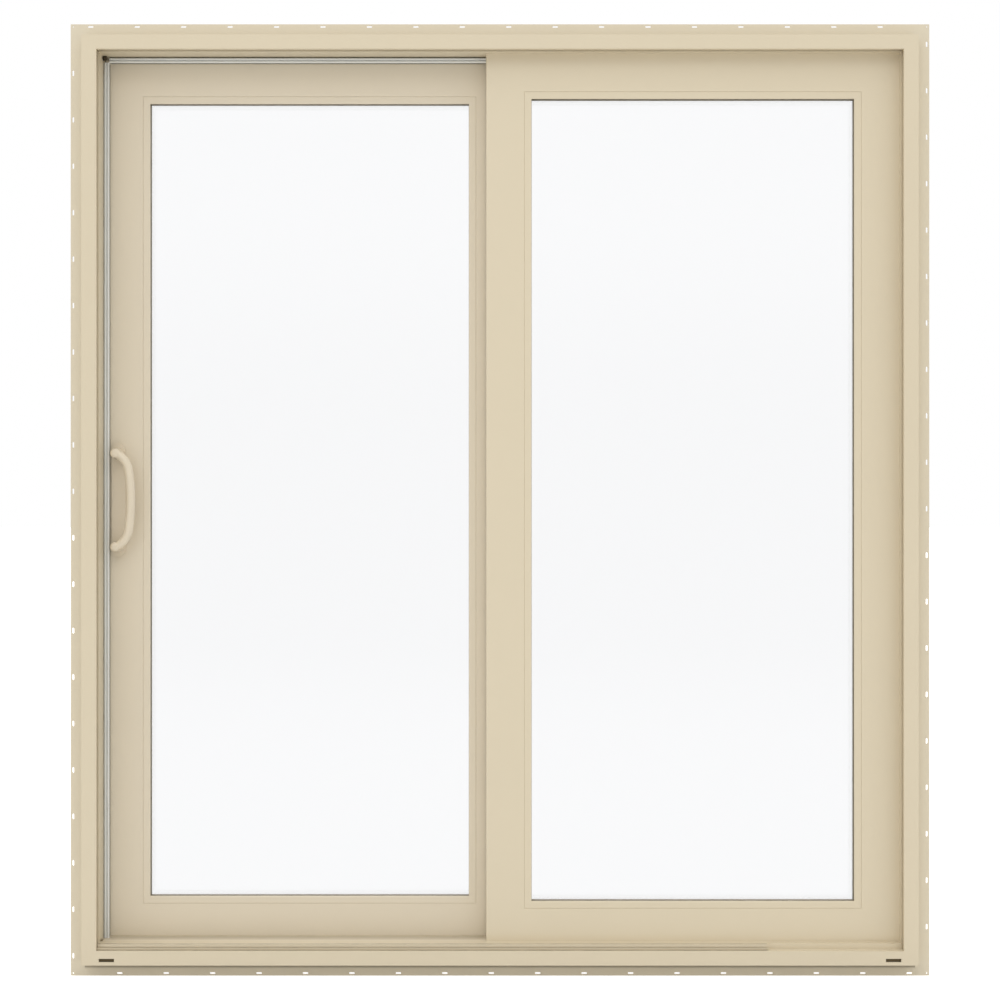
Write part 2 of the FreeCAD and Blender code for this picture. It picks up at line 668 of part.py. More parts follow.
def make_tracks():
    """The roller track in the sill, and the guide rail and travel bumper in the head."""
    base = TRACK_BASE_WIDTH / 2
    rib = TRACK_RIB_WIDTH / 2
    z = POCKET_FLOOR_Z
    track = box(-REVEAL_X, REVEAL_X, RUN_Y - base, RUN_Y + base, z, z + TRACK_BASE_THICKNESS)
    track = track.fuse(box(-REVEAL_X, REVEAL_X, RUN_Y - rib, RUN_Y + rib, z, z + TRACK_RIB_HEIGHT))
    save("roller_track", track.removeSplitter())
    stop = SLIDING_LEFT + PANEL_WIDTH + TRAVEL + RUNNING_GAP
    end = stop - RAIL_END_GAP
    base = GUIDE_BASE_WIDTH / 2
    rib = GUIDE_RIB_WIDTH / 2
    z = POCKET_CEILING_Z
    low = PANEL_TOP - GUIDE_RIB_REACH
    guide = box(-REVEAL_X, end, RUN_Y - base, RUN_Y + base, z - GUIDE_BASE_THICKNESS, z)
    guide = guide.fuse(box(-REVEAL_X, end, RUN_Y - rib, RUN_Y + rib, low, z))
    save("head_guide_rail", guide.removeSplitter())
    wide = BUMPER_WIDTH / 2
    save("travel_bumper", box(stop, stop + BUMPER_LENGTH, RUN_Y - wide, RUN_Y + wide, z - BUMPER_DROP, z))


def make_keeper():
    """The lock keeper on the floor of the left jamb's pocket."""
    floor = -REVEAL_X - JAMB_POCKET
    wide = KEEPER_WIDTH / 2
    tall = KEEPER_HEIGHT / 2
    end = floor + KEEPER_THICKNESS
    plate = box(floor, end, RUN_Y - wide, RUN_Y + wide, MIDDLE - tall, MIDDLE + tall)
    slot_wide = BOLT_SLOT_WIDTH / 2
    slot_tall = KEEPER_SLOT_HEIGHT / 2
    slot = box(floor, end, RUN_Y - slot_wide, RUN_Y + slot_wide, MIDDLE - slot_tall, MIDDLE + slot_tall)
    save("lock_keeper", plate.cut(slot))


def handle_plate(face, out):
    """A backplate with two thicker round ends: out is -1 outdoors and 1 indoors."""
    left = SLIDING_LEFT + HANDLE_EDGE_GAP
    centre = left + PLATE_END_RADIUS
    reach = PLATE_HALF_HEIGHT - PLATE_END_RADIUS
    y0, y1 = sorted((face, face + out * PLATE_THICKNESS))
    right = left + 2 * PLATE_END_RADIUS
    plate = box(left, right, y0, y1, MIDDLE - reach, MIDDLE + reach)
    for sign in (-1, 1):
        start = Vector(centre, face, MIDDLE + sign * reach)
        plate = plate.fuse(cylinder(PLATE_END_RADIUS, start, Vector(0, out, 0), ROSE_THICKNESS))
    return plate.removeSplitter()


def handle_grip(face, out):
    """A bowed round bar on two posts."""
    x = SLIDING_LEFT + HANDLE_EDGE_GAP + PLATE_END_RADIUS
    y = face + out * (GRIP_PROJECTION - GRIP_RADIUS)
    end = Vector(x, y, MIDDLE + GRIP_HALF_SPAN)
    shoulder = Vector(x + GRIP_SHOULDER_BOW, y, MIDDLE + GRIP_HALF_SPAN - GRIP_SHOULDER)
    crown = Vector(x + GRIP_BOW, y, MIDDLE)
    low_shoulder = Vector(shoulder.x, y, 2 * MIDDLE - shoulder.z)
    low_end = Vector(x, y, 2 * MIDDLE - end.z)
    middle = Part.Arc(shoulder, crown, low_shoulder)
    heading = tangent_at(shoulder, crown, low_shoulder)
    upper = tangent_arc(shoulder, heading, end)
    mirrored = Vector(upper.x, y, 2 * MIDDLE - upper.z)
    path = Part.Wire(
        [
            Part.Arc(end, upper, shoulder).toShape(),
            middle.toShape(),
            Part.Arc(low_shoulder, mirrored, low_end).toShape(),
        ]
    )
    direction = path.Edges[0].tangentAt(path.Edges[0].FirstParameter)
    ring = Part.Wire(Part.makeCircle(GRIP_RADIUS, end, direction))
    bar = path.makePipeShell([ring], True, False)
    foot_y = face + out * ROSE_THICKNESS
    for top in (end, low_end):
        bar = bar.fuse(grip_post(top, foot_y, out))
    return bar


def grip_post(top, foot_y, out):
    """A tapered post with a domed end, turned about the line through the bar's end."""
    crown = top.y + out * POST_RADIUS
    shoulder = crown - out * POST_DOME
    flat = POST_RADIUS - POST_DOME
    bend = POST_DOME * math.sqrt(0.5)
    dome = Part.Arc(
        Vector(top.x + POST_RADIUS, shoulder, top.z),
        Vector(top.x + flat + bend, shoulder + out * bend, top.z),
        Vector(top.x + flat, crown, top.z),
    )
    corners = [
        Vector(top.x + flat, crown, top.z),
        Vector(top.x, crown, top.z),
        Vector(top.x, foot_y, top.z),
        Vector(top.x + POST_FOOT_RADIUS, foot_y, top.z),
        Vector(top.x + POST_RADIUS, top.y, top.z),
        Vector(top.x + POST_RADIUS, shoulder, top.z),
    ]
    outline = Part.Wire([dome.toShape()] + Part.makePolygon(corners).Edges)
    return Part.Face(outline).revolve(top, Vector(0, 1, 0), 360)


def tangent_at(start, middle, end):
    """The direction at the start of the arc through three points, looking away from the arc."""
    edge = Part.Arc(start, middle, end).toShape()
    return edge.tangentAt(edge.FirstParameter) * -1


def tangent_arc(start, heading, end):
    """The middle point of the arc that leaves start along heading and reaches end."""
    chord = end - start
    turn = heading.getAngle(chord)
    side = (chord - heading * chord.dot(heading)).normalize()
    radius = chord.Length / (2 * math.sin(turn))
    return start + heading * radius * math.sin(turn) + side * radius * (1 - math.cos(turn))


def make_handles():
    """Matching handles on the lock stile's two faces."""
    for name, face, out in (("outer", SLIDING_FRONT, -1), ("inner", SLIDING_BACK, 1)):
        save(f"{name}_handle_plate", handle_plate(face, out))
        save(f"{name}_handle_grip", handle_grip(face, out))


os.makedirs("parts", exist_ok=True)
make_sill()
make_head()
make_jamb(-1)
make_jamb(1)
make_nail_fins()
make_screen_track()
make_sill_cover()
make_weatherstrips()
make_fixed_panel()
make_sliding_panel()
make_rollers()
make_tracks()
make_keeper()
make_handles()
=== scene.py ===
"""Looks of a glass sliding patio door: finishes, glazing gaskets, seals, fasteners and a plain studio.

Metres throughout. X runs to the right, Y into the building and Z up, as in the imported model.
"""
import math

import bmesh
import bpy
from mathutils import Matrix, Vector


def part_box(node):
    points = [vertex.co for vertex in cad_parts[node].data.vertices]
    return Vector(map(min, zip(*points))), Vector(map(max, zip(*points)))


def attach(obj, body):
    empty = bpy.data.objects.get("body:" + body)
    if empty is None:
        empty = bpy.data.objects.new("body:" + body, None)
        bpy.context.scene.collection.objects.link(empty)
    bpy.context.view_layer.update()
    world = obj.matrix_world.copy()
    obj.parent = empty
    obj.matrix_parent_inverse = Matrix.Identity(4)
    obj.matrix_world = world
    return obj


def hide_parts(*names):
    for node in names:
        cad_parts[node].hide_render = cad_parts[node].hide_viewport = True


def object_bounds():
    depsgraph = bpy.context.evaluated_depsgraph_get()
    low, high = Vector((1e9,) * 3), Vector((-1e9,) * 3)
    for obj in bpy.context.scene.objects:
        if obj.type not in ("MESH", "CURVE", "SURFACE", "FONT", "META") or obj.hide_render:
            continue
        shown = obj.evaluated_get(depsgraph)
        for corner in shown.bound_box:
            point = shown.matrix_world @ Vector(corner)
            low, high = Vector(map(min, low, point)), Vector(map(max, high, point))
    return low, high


bl_info = {
    "name": "Sliding Patio Door Looks",
    "version": (1, 0, 0),
    "blender": (4, 5, 0),
    "location": "3D View > Sidebar > Patio Door",
    "description": "Dresses a two-panel sliding patio door and lights it in a plain studio",
    "category": "Object",
}

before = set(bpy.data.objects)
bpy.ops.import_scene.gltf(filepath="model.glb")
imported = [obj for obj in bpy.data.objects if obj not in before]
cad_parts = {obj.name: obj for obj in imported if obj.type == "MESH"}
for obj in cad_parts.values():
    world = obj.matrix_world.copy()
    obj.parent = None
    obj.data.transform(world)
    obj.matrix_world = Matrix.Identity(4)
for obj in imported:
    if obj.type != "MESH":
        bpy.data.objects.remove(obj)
CAD_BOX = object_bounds()

PANELS = {"fixed": "frame", "sliding": "sliding_panel"}

FINISHED_NODES = {
    "frame_vinyl": [
        "head", "left_jamb", "right_jamb", "left_jamb_stop", "right_jamb_stop",
        "sill", "sill_roller_channel", "sill_riser",
    ],
    "track_vinyl": ["screen_track"],
    "cover_vinyl": ["sill_cover"],
    "fixed_vinyl": [
        "fixed_left_stile", "fixed_right_stile", "fixed_top_rail", "fixed_bottom_rail",
        "fixed_left_bead", "fixed_right_bead", "fixed_top_bead", "fixed_bottom_bead",
    ],
    "sliding_vinyl": [
        "sliding_left_stile", "sliding_right_stile", "sliding_top_rail", "sliding_bottom_rail",
        "sliding_left_bead", "sliding_right_bead", "sliding_top_bead", "sliding_bottom_bead",
    ],
    "fin_vinyl": ["head_nail_fin", "left_nail_fin", "right_nail_fin"],
    "sill_fin_vinyl": ["sill_nail_fin"],
    "handle_enamel": [
        "outer_handle_plate", "outer_handle_grip", "inner_handle_plate", "inner_handle_grip",
    ],
    "window_glass": ["fixed_glass", "sliding_glass"],
    "spacer_foam": ["fixed_glass_spacer", "sliding_glass_spacer"],
    "grey_seal": ["jamb_weatherstrip", "head_weatherstrip"],
    "drawn_aluminium": ["roller_track", "head_guide_rail"],
    "brushed_steel": ["lock_keeper", "lock_faceplate", "roller_carriages"],
    "wheel_nylon": ["roller_wheels"],
    "bumper_rubber": ["travel_bumper"],
}


def screen_colour(red, green, blue):
    """Scene-linear colour for an 8-bit colour on screen."""
    linear = []
    for part in (red, green, blue):
        share = part / 255
        linear.append(share / 12.92 if share <= 0.04045 else ((share + 0.055) / 1.055) ** 2.4)
    return tuple(linear)


def colour_property(name, description, default):
    """A colour that a user may change."""
    return bpy.props.FloatVectorProperty(
        name=name, description=description, subtype="COLOR", size=3, min=0, max=1, default=default
    )


def length_property(name, description, default):
    """A length in metres that a user may change."""
    return bpy.props.FloatProperty(
        name=name, description=description, unit="LENGTH", precision=5, min=0, default=default
    )


class DoorFinish(bpy.types.PropertyGroup):
    """Colours and grain of the door's materials."""

    frame_vinyl: colour_property(
        "Frame Vinyl", "Colour of head, jambs and sill", screen_colour(214, 201, 174)
    )
    # Painted light: the sill cover's copy of the vinyl is set lighter than the frame's, standing in for
    # light its recess lacks.
    cover_vinyl: colour_property(
        "Sill Cover Vinyl", "Colour of the cover over the sill's channel",
        screen_colour(221, 209, 186),
    )
    track_vinyl: colour_property(
        "Screen Track Vinyl", "Colour of the screen track", screen_colour(216, 203, 176)
    )
    # Painted shade: a darker copy of the vinyl for the liners in the screen groove.
    groove_vinyl: colour_property(
        "Groove Vinyl", "Colour of the liners in the screen groove", screen_colour(194, 181, 154)
    )
    fixed_vinyl: colour_property(
        "Fixed Panel Vinyl", "Colour of the fixed panel", screen_colour(216, 203, 176)
    )
    # Painted light: the sliding panel's copy of the vinyl is set lighter than the frame's, standing in
    # for light its recess lacks.
    sliding_vinyl: colour_property(
        "Sliding Panel Vinyl", "Colour of the sliding panel", screen_colour(217, 205, 182)
    )
    fin_vinyl: colour_property(
        "Fin Vinyl", "Colour of the nail fins", screen_colour(216, 205, 181)
    )
    sill_fin_vinyl: colour_property(
        "Sill Fin Vinyl", "Colour of the sill's nail fin", screen_colour(219, 208, 184)
    )
    handle_enamel: colour_property(
        "Handle Enamel", "Colour of plates and grips", screen_colour(218, 205, 181)
    )
    glass_tint: colour_property(
        "Glass Tint", "Colour of light that has passed the glass", (0.975, 0.977, 0.981)
    )
    spacer_foam: colour_property(
        "Spacer", "Colour of the spacers between the panes", screen_colour(98, 90, 74)
    )
    grey_seal: colour_property(
        "Weatherstrips", "Colour of the grey strips", screen_colour(222, 223, 218)
    )
    gasket: colour_property(
        "Gaskets", "Colour of the glazing gaskets", screen_colour(112, 102, 80)
    )
    weep: colour_property(
        "Weep Flaps", "Colour of the flaps in the weep slots", screen_colour(74, 60, 28)
    )
    corner_foam: colour_property(
        "Corner Foam", "Colour of the foam pad in the upper corner", screen_colour(66, 56, 38)
    )
    seal_fin: colour_property(
        "Seal Fins", "Colour of the fins behind the grey strips", screen_colour(110, 104, 88)
    )
    pale_foam: colour_property(
        "Sill Pad", "Colour of the pad in the lower corner", screen_colour(146, 134, 108)
    )
    # Painted shade: the sill wiper is darker than the vinyl, standing in for the shadow under the sliding
    # panel.
    wiper: colour_property(
        "Sill Wiper", "Colour of the strip between sill and sliding panel",
        screen_colour(194, 180, 151),
    )
    pile: colour_property(
        "Pile", "Colour of the meeting strip's pile", screen_colour(88, 86, 82)
    )
    aluminium: colour_property(
        "Aluminium", "Colour of roller track and guide rail", screen_colour(206, 206, 204)
    )
    steel: colour_property(
        "Steel", "Colour of lock parts, carriages and screws", screen_colour(186, 185, 182)
    )
    nylon: colour_property(
        "Nylon", "Colour of the roller wheels", screen_colour(228, 224, 212)
    )
    rubber: colour_property(
        "Rubber", "Colour of the travel bumper", screen_colour(46, 45, 44)
    )
    grain: bpy.props.FloatProperty(
        name="Grain", description="Depth of the vinyl's drawing lines", min=0, max=1, default=0.35,
        subtype="FACTOR",
    )
    dust: bpy.props.FloatProperty(
        name="Dust", description="Dust on faces that look up", min=0, max=1, default=0.25,
        subtype="FACTOR",
    )
    # Painted shade: a dark colour mixed over the screen track's faces that look up, darkening its
    # grooves.
    track_shade: bpy.props.FloatProperty(
        name="Track Shade", description="Dirt in the screen track", min=0, max=1, default=0.9,
        subtype="FACTOR",
    )
    # Painted shade on the sill cover, darkening it towards the sliding panel.
    cover_shade: bpy.props.FloatProperty(
        name="Cover Shade", description="Dirt on the sill cover beside the panel", min=0, max=1,
        default=0.42, subtype="FACTOR",
    )
    # Painted shade on the sill's fin, darkening it where it meets the sill.
    fin_shade: bpy.props.FloatProperty(
        name="Fin Shade", description="Dirt where the sill's fin meets the sill", min=0, max=1,
        default=0.78, subtype="FACTOR",
    )


class DoorDetail(bpy.types.PropertyGroup):
    """Sizes of the pieces that this file adds."""

    gasket_lip: length_property(
        "Gasket Lip", "How far a gasket's lip stands into the opening", 0.0005
    )
    gasket_wall: length_property(
        "Gasket Wall", "Thickness of a gasket along the bead", 0.0004
    )
    # Partly painted shade: the outer gaskets are real, but reach far over the beads' walls to darken them
    # where shade falls.
    fixed_gasket_reach: length_property(
        "Fixed Gasket Reach", "How far the fixed panel's outer gasket covers its bead", 0.0145
    )
    sliding_gasket_reach: length_property(
        "Sliding Gasket Reach", "How far the sliding panel's outer gasket covers its bead", 0.0125
    )
    inner_gasket_reach: length_property(
        "Inner Gasket Reach", "How far the inner gaskets cover the panel's lip", 0.0042
    )
    weep_length: length_property("Weep Flap Length", "Length of a weep flap", 0.0324)
    weep_height: length_property("Weep Flap Height", "Height of a weep flap", 0.0064)
    screw_radius: length_property("Screw Head Radius", "Radius of a screw's head", 0.0032)
    plug_radius: length_property("Plug Radius", "Radius of a roller adjuster's cap", 0.0065)
    strip_leg: length_property("Strip Leg", "Depth of a grey strip's leg", 0.008)
    fin_reach: length_property("Fin Reach", "How far a seal's fin stands off the leg", 0.0026)
    groove_depth: length_property("Groove Depth", "Depth of the screen groove", 0.0036)
    liner_wall: length_property("Liner Wall", "Thickness of the groove's liner", 0.0007)
    tuft_pitch: length_property("Tuft Pitch", "Distance between tufts of pile", 0.0016)
    tuft_radius: length_property("Tuft Radius", "Radius of a tuft at its root", 0.00045)
    tuft_rows: bpy.props.IntProperty(
        name="Tuft Rows", description="Rows of tufts side by side", min=1, max=8, default=4
    )
    seed: bpy.props.IntProperty(
        name="Seed", description="Seed of every random turn", min=0, default=7
    )


class DoorStage(bpy.types.PropertyGroup):
    """Camera, light and floor."""

    camera_distance: length_property(
        "Camera Distance", "Distance of the camera from the exterior face", 3.7
    )
    view_width: length_property(
        "View Width", "Width that the picture shows at the exterior face", 2.168
    )
    key_power: bpy.props.FloatProperty(
        name="Key Light", description="Power of the soft lamp", unit="POWER", min=0, default=180
    )
    back_power: bpy.props.FloatProperty(
        name="Back Light", description="Power of the lamp behind the door", unit="POWER", min=0,
        default=240,
    )
    dome_top: bpy.props.FloatProperty(
        name="Dome Top", description="Strength of the light from above", min=0, default=1.47
    )
    dome_bottom: bpy.props.FloatProperty(
        name="Dome Bottom", description="Strength of the light from below", min=0, default=0.0
    )
    floor_gap: length_property(
        "Floor Gap", "Distance of the floor below the lowest fin", 0.0002
    )


def door(context):
    """The three groups of settings."""
    scene = context.scene
    return scene.door_finish, scene.door_detail, scene.door_stage


# Nodes and links


def add_node(tree, kind, values=None, **settings):
    """A node with its settings and the values of its unlinked inputs."""
    made = tree.nodes.new(kind)
    for name, value in settings.items():
        setattr(made, name, value)
    for socket, value in (values or {}).items():
        made.inputs[socket].default_value = value
    return made


def chain(tree, *ends):
    """Links each output to the input after it."""
    for start, end in zip(ends[::2], ends[1::2]):
        tree.links.new(start, end)


def seen_directly(tree, *kinds):
    """One where the ray is of one of the kinds, such as camera or glossy."""
    path = add_node(tree, "ShaderNodeLightPath")
    total = None
    for kind in kinds:
        output = path.outputs[f"Is {kind} Ray"]
        if total is None:
            total = output
            continue
        largest = add_node(tree, "ShaderNodeMath", operation="MAXIMUM")
        chain(tree, total, largest.inputs[0], output, largest.inputs[1])
        total = largest.outputs["Value"]
    return total


def new_group(name, kind, sockets):
    """A node group with named sockets, given as (in_out, name, socket type, default)."""
    tree = bpy.data.node_groups.new(name, kind)
    for in_out, label, socket_type, default in sockets:
        socket = tree.interface.new_socket(name=label, in_out=in_out, socket_type=socket_type)
        if default is not None:
            socket.default_value = default
    ends = add_node(tree, "NodeGroupInput"), add_node(tree, "NodeGroupOutput")
    return tree, ends[0], ends[1]


def extrusion_grain_group():
    """Fine lines along a drawn profile, a faint pebble and slow changes of tone."""
    tree, given, out = new_group("Extrusion Grain", "ShaderNodeTree", [
        ("INPUT", "Vector", "NodeSocketVector", None),
        ("INPUT", "Line Scale", "NodeSocketVector", (1.0, 1.0, 1.0)),
        ("INPUT", "Pebble Scale", "NodeSocketFloat", 900.0),
        ("OUTPUT", "Height", "NodeSocketFloat", None),
        ("OUTPUT", "Tone", "NodeSocketFloat", None),
    ])
    stretched = add_node(tree, "ShaderNodeVectorMath", operation="MULTIPLY")
    lines = add_node(tree, "ShaderNodeTexNoise", {"Scale": 1.0, "Detail": 3.0, "Roughness": 0.6})
    pebble = add_node(tree, "ShaderNodeTexNoise", {"Detail": 2.0, "Roughness": 0.5})
    slow = add_node(tree, "ShaderNodeTexNoise", {"Scale": 3.2, "Detail": 4.0, "Roughness": 0.55})
    height = add_node(tree, "ShaderNodeMix", {"Factor": 0.4}, data_type="FLOAT")
    chain(
        tree,
        given.outputs["Vector"], stretched.inputs[0],
        given.outputs["Line Scale"], stretched.inputs[1],
        stretched.outputs["Vector"], lines.inputs["Vector"],
        given.outputs["Vector"], pebble.inputs["Vector"],
        given.outputs["Pebble Scale"], pebble.inputs["Scale"],
        given.outputs["Vector"], slow.inputs["Vector"],
        lines.outputs["Fac"], height.inputs["A"],
        pebble.outputs["Fac"], height.inputs["B"],
        height.outputs["Result"], out.inputs["Height"],
        slow.outputs["Fac"], out.inputs["Tone"],
    )
    return tree


def dust_and_shade_mask_group():
    """A mask of dust on faces that look up, thicker in patches; some materials use it for painted shade.
    """
    tree, given, out = new_group("Settled Dust", "ShaderNodeTree", [
        ("INPUT", "Vector", "NodeSocketVector", None),
        ("INPUT", "Amount", "NodeSocketFloat", 0.25),
        ("OUTPUT", "Mask", "NodeSocketFloat", None),
    ])
    facing = add_node(tree, "ShaderNodeNewGeometry")
    parts = add_node(tree, "ShaderNodeSeparateXYZ")
    upward = add_node(
        tree, "ShaderNodeMapRange", {"From Min": 0.35, "From Max": 1.0, "To Min": 0.0, "To Max": 1.0}
    )
    patches = add_node(tree, "ShaderNodeTexNoise", {"Scale": 46.0, "Detail": 6.0, "Roughness": 0.7})
    worn = add_node(tree, "ShaderNodeMath", operation="MULTIPLY")
    amount = add_node(tree, "ShaderNodeMath", operation="MULTIPLY")
    chain(
        tree,
        facing.outputs["Normal"], parts.inputs["Vector"],
        parts.outputs["Z"], upward.inputs["Value"],
        given.outputs["Vector"], patches.inputs["Vector"],
        patches.outputs["Fac"], worn.inputs[0],
        upward.outputs["Result"], worn.inputs[1],
        worn.outputs["Value"], amount.inputs[0],
        given.outputs["Amount"], amount.inputs[1],
        amount.outputs["Value"], out.inputs["Mask"],
    )
    return tree


def tone_group():
    """A base colour that drifts a little lighter and darker, with dust mixed over it, and in some
    materials painted shade.
    """
    tree, given, out = new_group("Tone and Dust", "ShaderNodeTree", [
        ("INPUT", "Colour", "NodeSocketColor", (0.8, 0.8, 0.8, 1.0)),
        ("INPUT", "Dust Colour", "NodeSocketColor", (*screen_colour(196, 186, 166), 1.0)),
        ("INPUT", "Tone", "NodeSocketFloat", 0.5),
        ("INPUT", "Drift", "NodeSocketFloat", 0.03),
        ("INPUT", "Dust", "NodeSocketFloat", 0.0),
        ("OUTPUT", "Colour", "NodeSocketColor", None),
    ])
    centred = add_node(tree, "ShaderNodeMath", {1: 0.5}, operation="SUBTRACT")
    drift = add_node(tree, "ShaderNodeMath", operation="MULTIPLY")
    level = add_node(tree, "ShaderNodeMath", {1: 1.0}, operation="ADD")
    shaded = add_node(tree, "ShaderNodeVectorMath", operation="SCALE")
    dusted = add_node(tree, "ShaderNodeMix", data_type="RGBA")
    chain(
        tree,
        given.outputs["Tone"], centred.inputs[0],
        centred.outputs["Value"], drift.inputs[0],
        given.outputs["Drift"], drift.inputs[1],
        drift.outputs["Value"], level.inputs[0],
        given.outputs["Colour"], shaded.inputs[0],
        level.outputs["Value"], shaded.inputs["Scale"],
        given.outputs["Dust"], dusted.inputs["Factor"],
        shaded.outputs["Vector"], dusted.inputs[6],
        given.outputs["Dust Colour"], dusted.inputs[7],
        dusted.outputs[2], out.inputs["Colour"],
    )
    return tree


def shared_group(name):
    """A shader group by name, built the first time that it is asked for."""
    makers = {
        "Extrusion Grain": extrusion_grain_group,
        "Settled Dust": dust_and_shade_mask_group,
        "Tone and Dust": tone_group,
    }
    return bpy.data.node_groups.get(name) or makers[name]()


# Materials


def plain_material(name, roughness, **sockets):
    """A material with its shader and Object coordinates, and constants set on the shader."""
    material = bpy.data.materials.new(name)
    material.use_nodes = True
    tree = material.node_tree
    shader = tree.nodes["Principled BSDF"]
    shader.inputs["Roughness"].default_value = roughness
    for socket, value in sockets.items():
        shader.inputs[socket.replace("_", " ")].default_value = value
    return material, tree, shader, add_node(tree, "ShaderNodeTexCoord")


def grained_material(
    name, colour, roughness, line_scale, bump, distance, drift=0.04, dust=0.0, pebble=900.0,
    spread=0.08, dust_and_shade_colour=(196, 186, 166), shade_band=None, **sockets
):
    """A drawn or moulded material: grain in its bump and roughness, tone, dust and painted shade in its
    colour.

    A shade band (axis, start, end, most) is painted shade that darkens from start to end along the axis.
    """
    material, tree, shader, coordinates = plain_material(name, roughness, **sockets)
    point = coordinates.outputs["Object"]
    grain = add_node(tree, "ShaderNodeGroup", node_tree=shared_group("Extrusion Grain"))
    grain.inputs["Line Scale"].default_value = line_scale
    grain.inputs["Pebble Scale"].default_value = pebble
    dust_and_shade_mask = add_node(tree, "ShaderNodeGroup", node_tree=shared_group("Settled Dust"))
    dust_and_shade_mask.inputs["Amount"].default_value = dust
    tone = add_node(tree, "ShaderNodeGroup", node_tree=shared_group("Tone and Dust"))
    tone.inputs["Colour"].default_value = (*colour, 1.0)
    tone.inputs["Drift"].default_value = drift
    tone.inputs["Dust Colour"].default_value = (*screen_colour(*dust_and_shade_colour), 1.0)
    relief = add_node(tree, "ShaderNodeBump", {"Strength": bump, "Distance": distance})
    gloss = add_node(
        tree, "ShaderNodeMapRange", {"To Min": roughness - spread, "To Max": roughness + spread}
    )
    chain(
        tree,
        point, grain.inputs["Vector"],
        point, dust_and_shade_mask.inputs["Vector"],
        grain.outputs["Tone"], tone.inputs["Tone"],
        dust_and_shade_mask.outputs["Mask"], tone.inputs["Dust"],
        tone.outputs["Colour"], shader.inputs["Base Color"],
        grain.outputs["Height"], relief.inputs["Height"],
        relief.outputs["Normal"], shader.inputs["Normal"],
        grain.outputs["Height"], gloss.inputs["Value"],
        gloss.outputs["Result"], shader.inputs["Roughness"],
    )
    # The band is painted shade: the dark colour thickens along one axis towards where shade falls.
    if shade_band:
        axis, start, end, most = shade_band
        place = add_node(tree, "ShaderNodeSeparateXYZ")
        painted_shade = add_node(
            tree, "ShaderNodeMapRange",
            {"From Min": start, "From Max": end, "To Min": 0.0, "To Max": most},
            interpolation_type="SMOOTHSTEP",
        )
        dust_and_shade = add_node(tree, "ShaderNodeMath", operation="MAXIMUM")
        chain(
            tree,
            point, place.inputs["Vector"],
            place.outputs[axis], painted_shade.inputs["Value"],
            painted_shade.outputs["Result"], dust_and_shade.inputs[0],
            dust_and_shade_mask.outputs["Mask"], dust_and_shade.inputs[1],
            dust_and_shade.outputs["Value"], tone.inputs["Dust"],
        )
    return material


def line_scale(axis, across, along):
    """How often the grain repeats in metres across and along a piece that runs on an axis."""
    return tuple(along if axis == part else across for part in "XYZ")


def vinyl(name, colour, axis, finish):
    """Drawn vinyl with faint lines along its length."""
    return grained_material(
        name, colour, 0.42, line_scale(axis, 700.0, 6.0), finish.grain, 0.00006,
        drift=0.035, dust=finish.dust, IOR=1.5,
    )


def shaded_vinyl(name, colour, axis, finish, dust=0.0, shade_band=None):
    """Drawn vinyl with painted shade: a dark colour on the faces that look up or in a band."""
    return grained_material(
        name, colour, 0.45, line_scale(axis, 700.0, 6.0), finish.grain, 0.00006,
        drift=0.035, dust=dust, dust_and_shade_colour=(112, 101, 78), shade_band=shade_band, IOR=1.5,
    )


def track_shade_vinyl(name, colour, axis, finish):
    """The screen track, with painted shade: a dark colour mixed over all its ledges that look up."""
    return shaded_vinyl(name, colour, axis, finish, dust=finish.track_shade)


def shaded_channel_cover(name, colour, axis, finish):
    """The sill cover, with painted shade that darkens it towards the sliding panel."""
    return shaded_vinyl(name, colour, axis, finish, shade_band=("Y", 0.0, 0.042, finish.cover_shade))


def shaded_sill_fin(name, colour, axis, finish):
    """The fin below the sill, with painted shade that darkens it towards the sill."""
    return shaded_vinyl(name, colour, axis, finish, shade_band=("Z", -0.001, 0.007, finish.fin_shade))


def handle_enamel(name, colour, axis, finish):
    """Enamel over a casting, with a fine orange peel."""
    return grained_material(
        name, colour, 0.36, line_scale(axis, 420.0, 420.0), 0.3, 0.00008,
        drift=0.05, dust=finish.dust, pebble=1500.0, IOR=1.5, Coat_Weight=0.25, Coat_Roughness=0.22,
    )


def window_glass(name, colour, axis, finish):
    """Clear float glass with the slightest waviness, which lets light through to what it covers."""
    material, tree, shader, coordinates = plain_material(
        name, 0.0, IOR=1.5, Transmission_Weight=1.0, Base_Color=(*colour, 1.0)
    )
    wave = add_node(tree, "ShaderNodeTexNoise", {"Scale": 2.2, "Detail": 1.0})
    relief = add_node(tree, "ShaderNodeBump", {"Strength": 0.02, "Distance": 0.0004})
    lit_through = add_node(tree, "ShaderNodeBsdfTransparent", {"Color": (*colour, 1.0)})
    either = add_node(tree, "ShaderNodeMixShader")
    chain(
        tree,
        coordinates.outputs["Object"], wave.inputs["Vector"],
        wave.outputs["Fac"], relief.inputs["Height"],
        relief.outputs["Normal"], shader.inputs["Normal"],
        seen_directly(tree, "Shadow", "Diffuse"), either.inputs["Fac"],
        shader.outputs["BSDF"], either.inputs[1],
        lit_through.outputs["BSDF"], either.inputs[2],
        either.outputs["Shader"], tree.nodes["Material Output"].inputs["Surface"],
    )
    return material


def spacer_foam(name, colour, axis, finish):
    """Dull structural foam."""
    return grained_material(
        name, colour, 0.85, line_scale(axis, 1600.0, 1600.0), 0.5, 0.0001, drift=0.25, pebble=2400.0
    )


def grey_seal(name, colour, axis, finish):
    """Soft drawn seal, with lines along it and dust in its groove."""
    return grained_material(
        name, colour, 0.58, line_scale(axis, 1300.0, 4.0), 0.55, 0.0001,
        drift=0.12, dust=finish.dust, pebble=1800.0,
    )


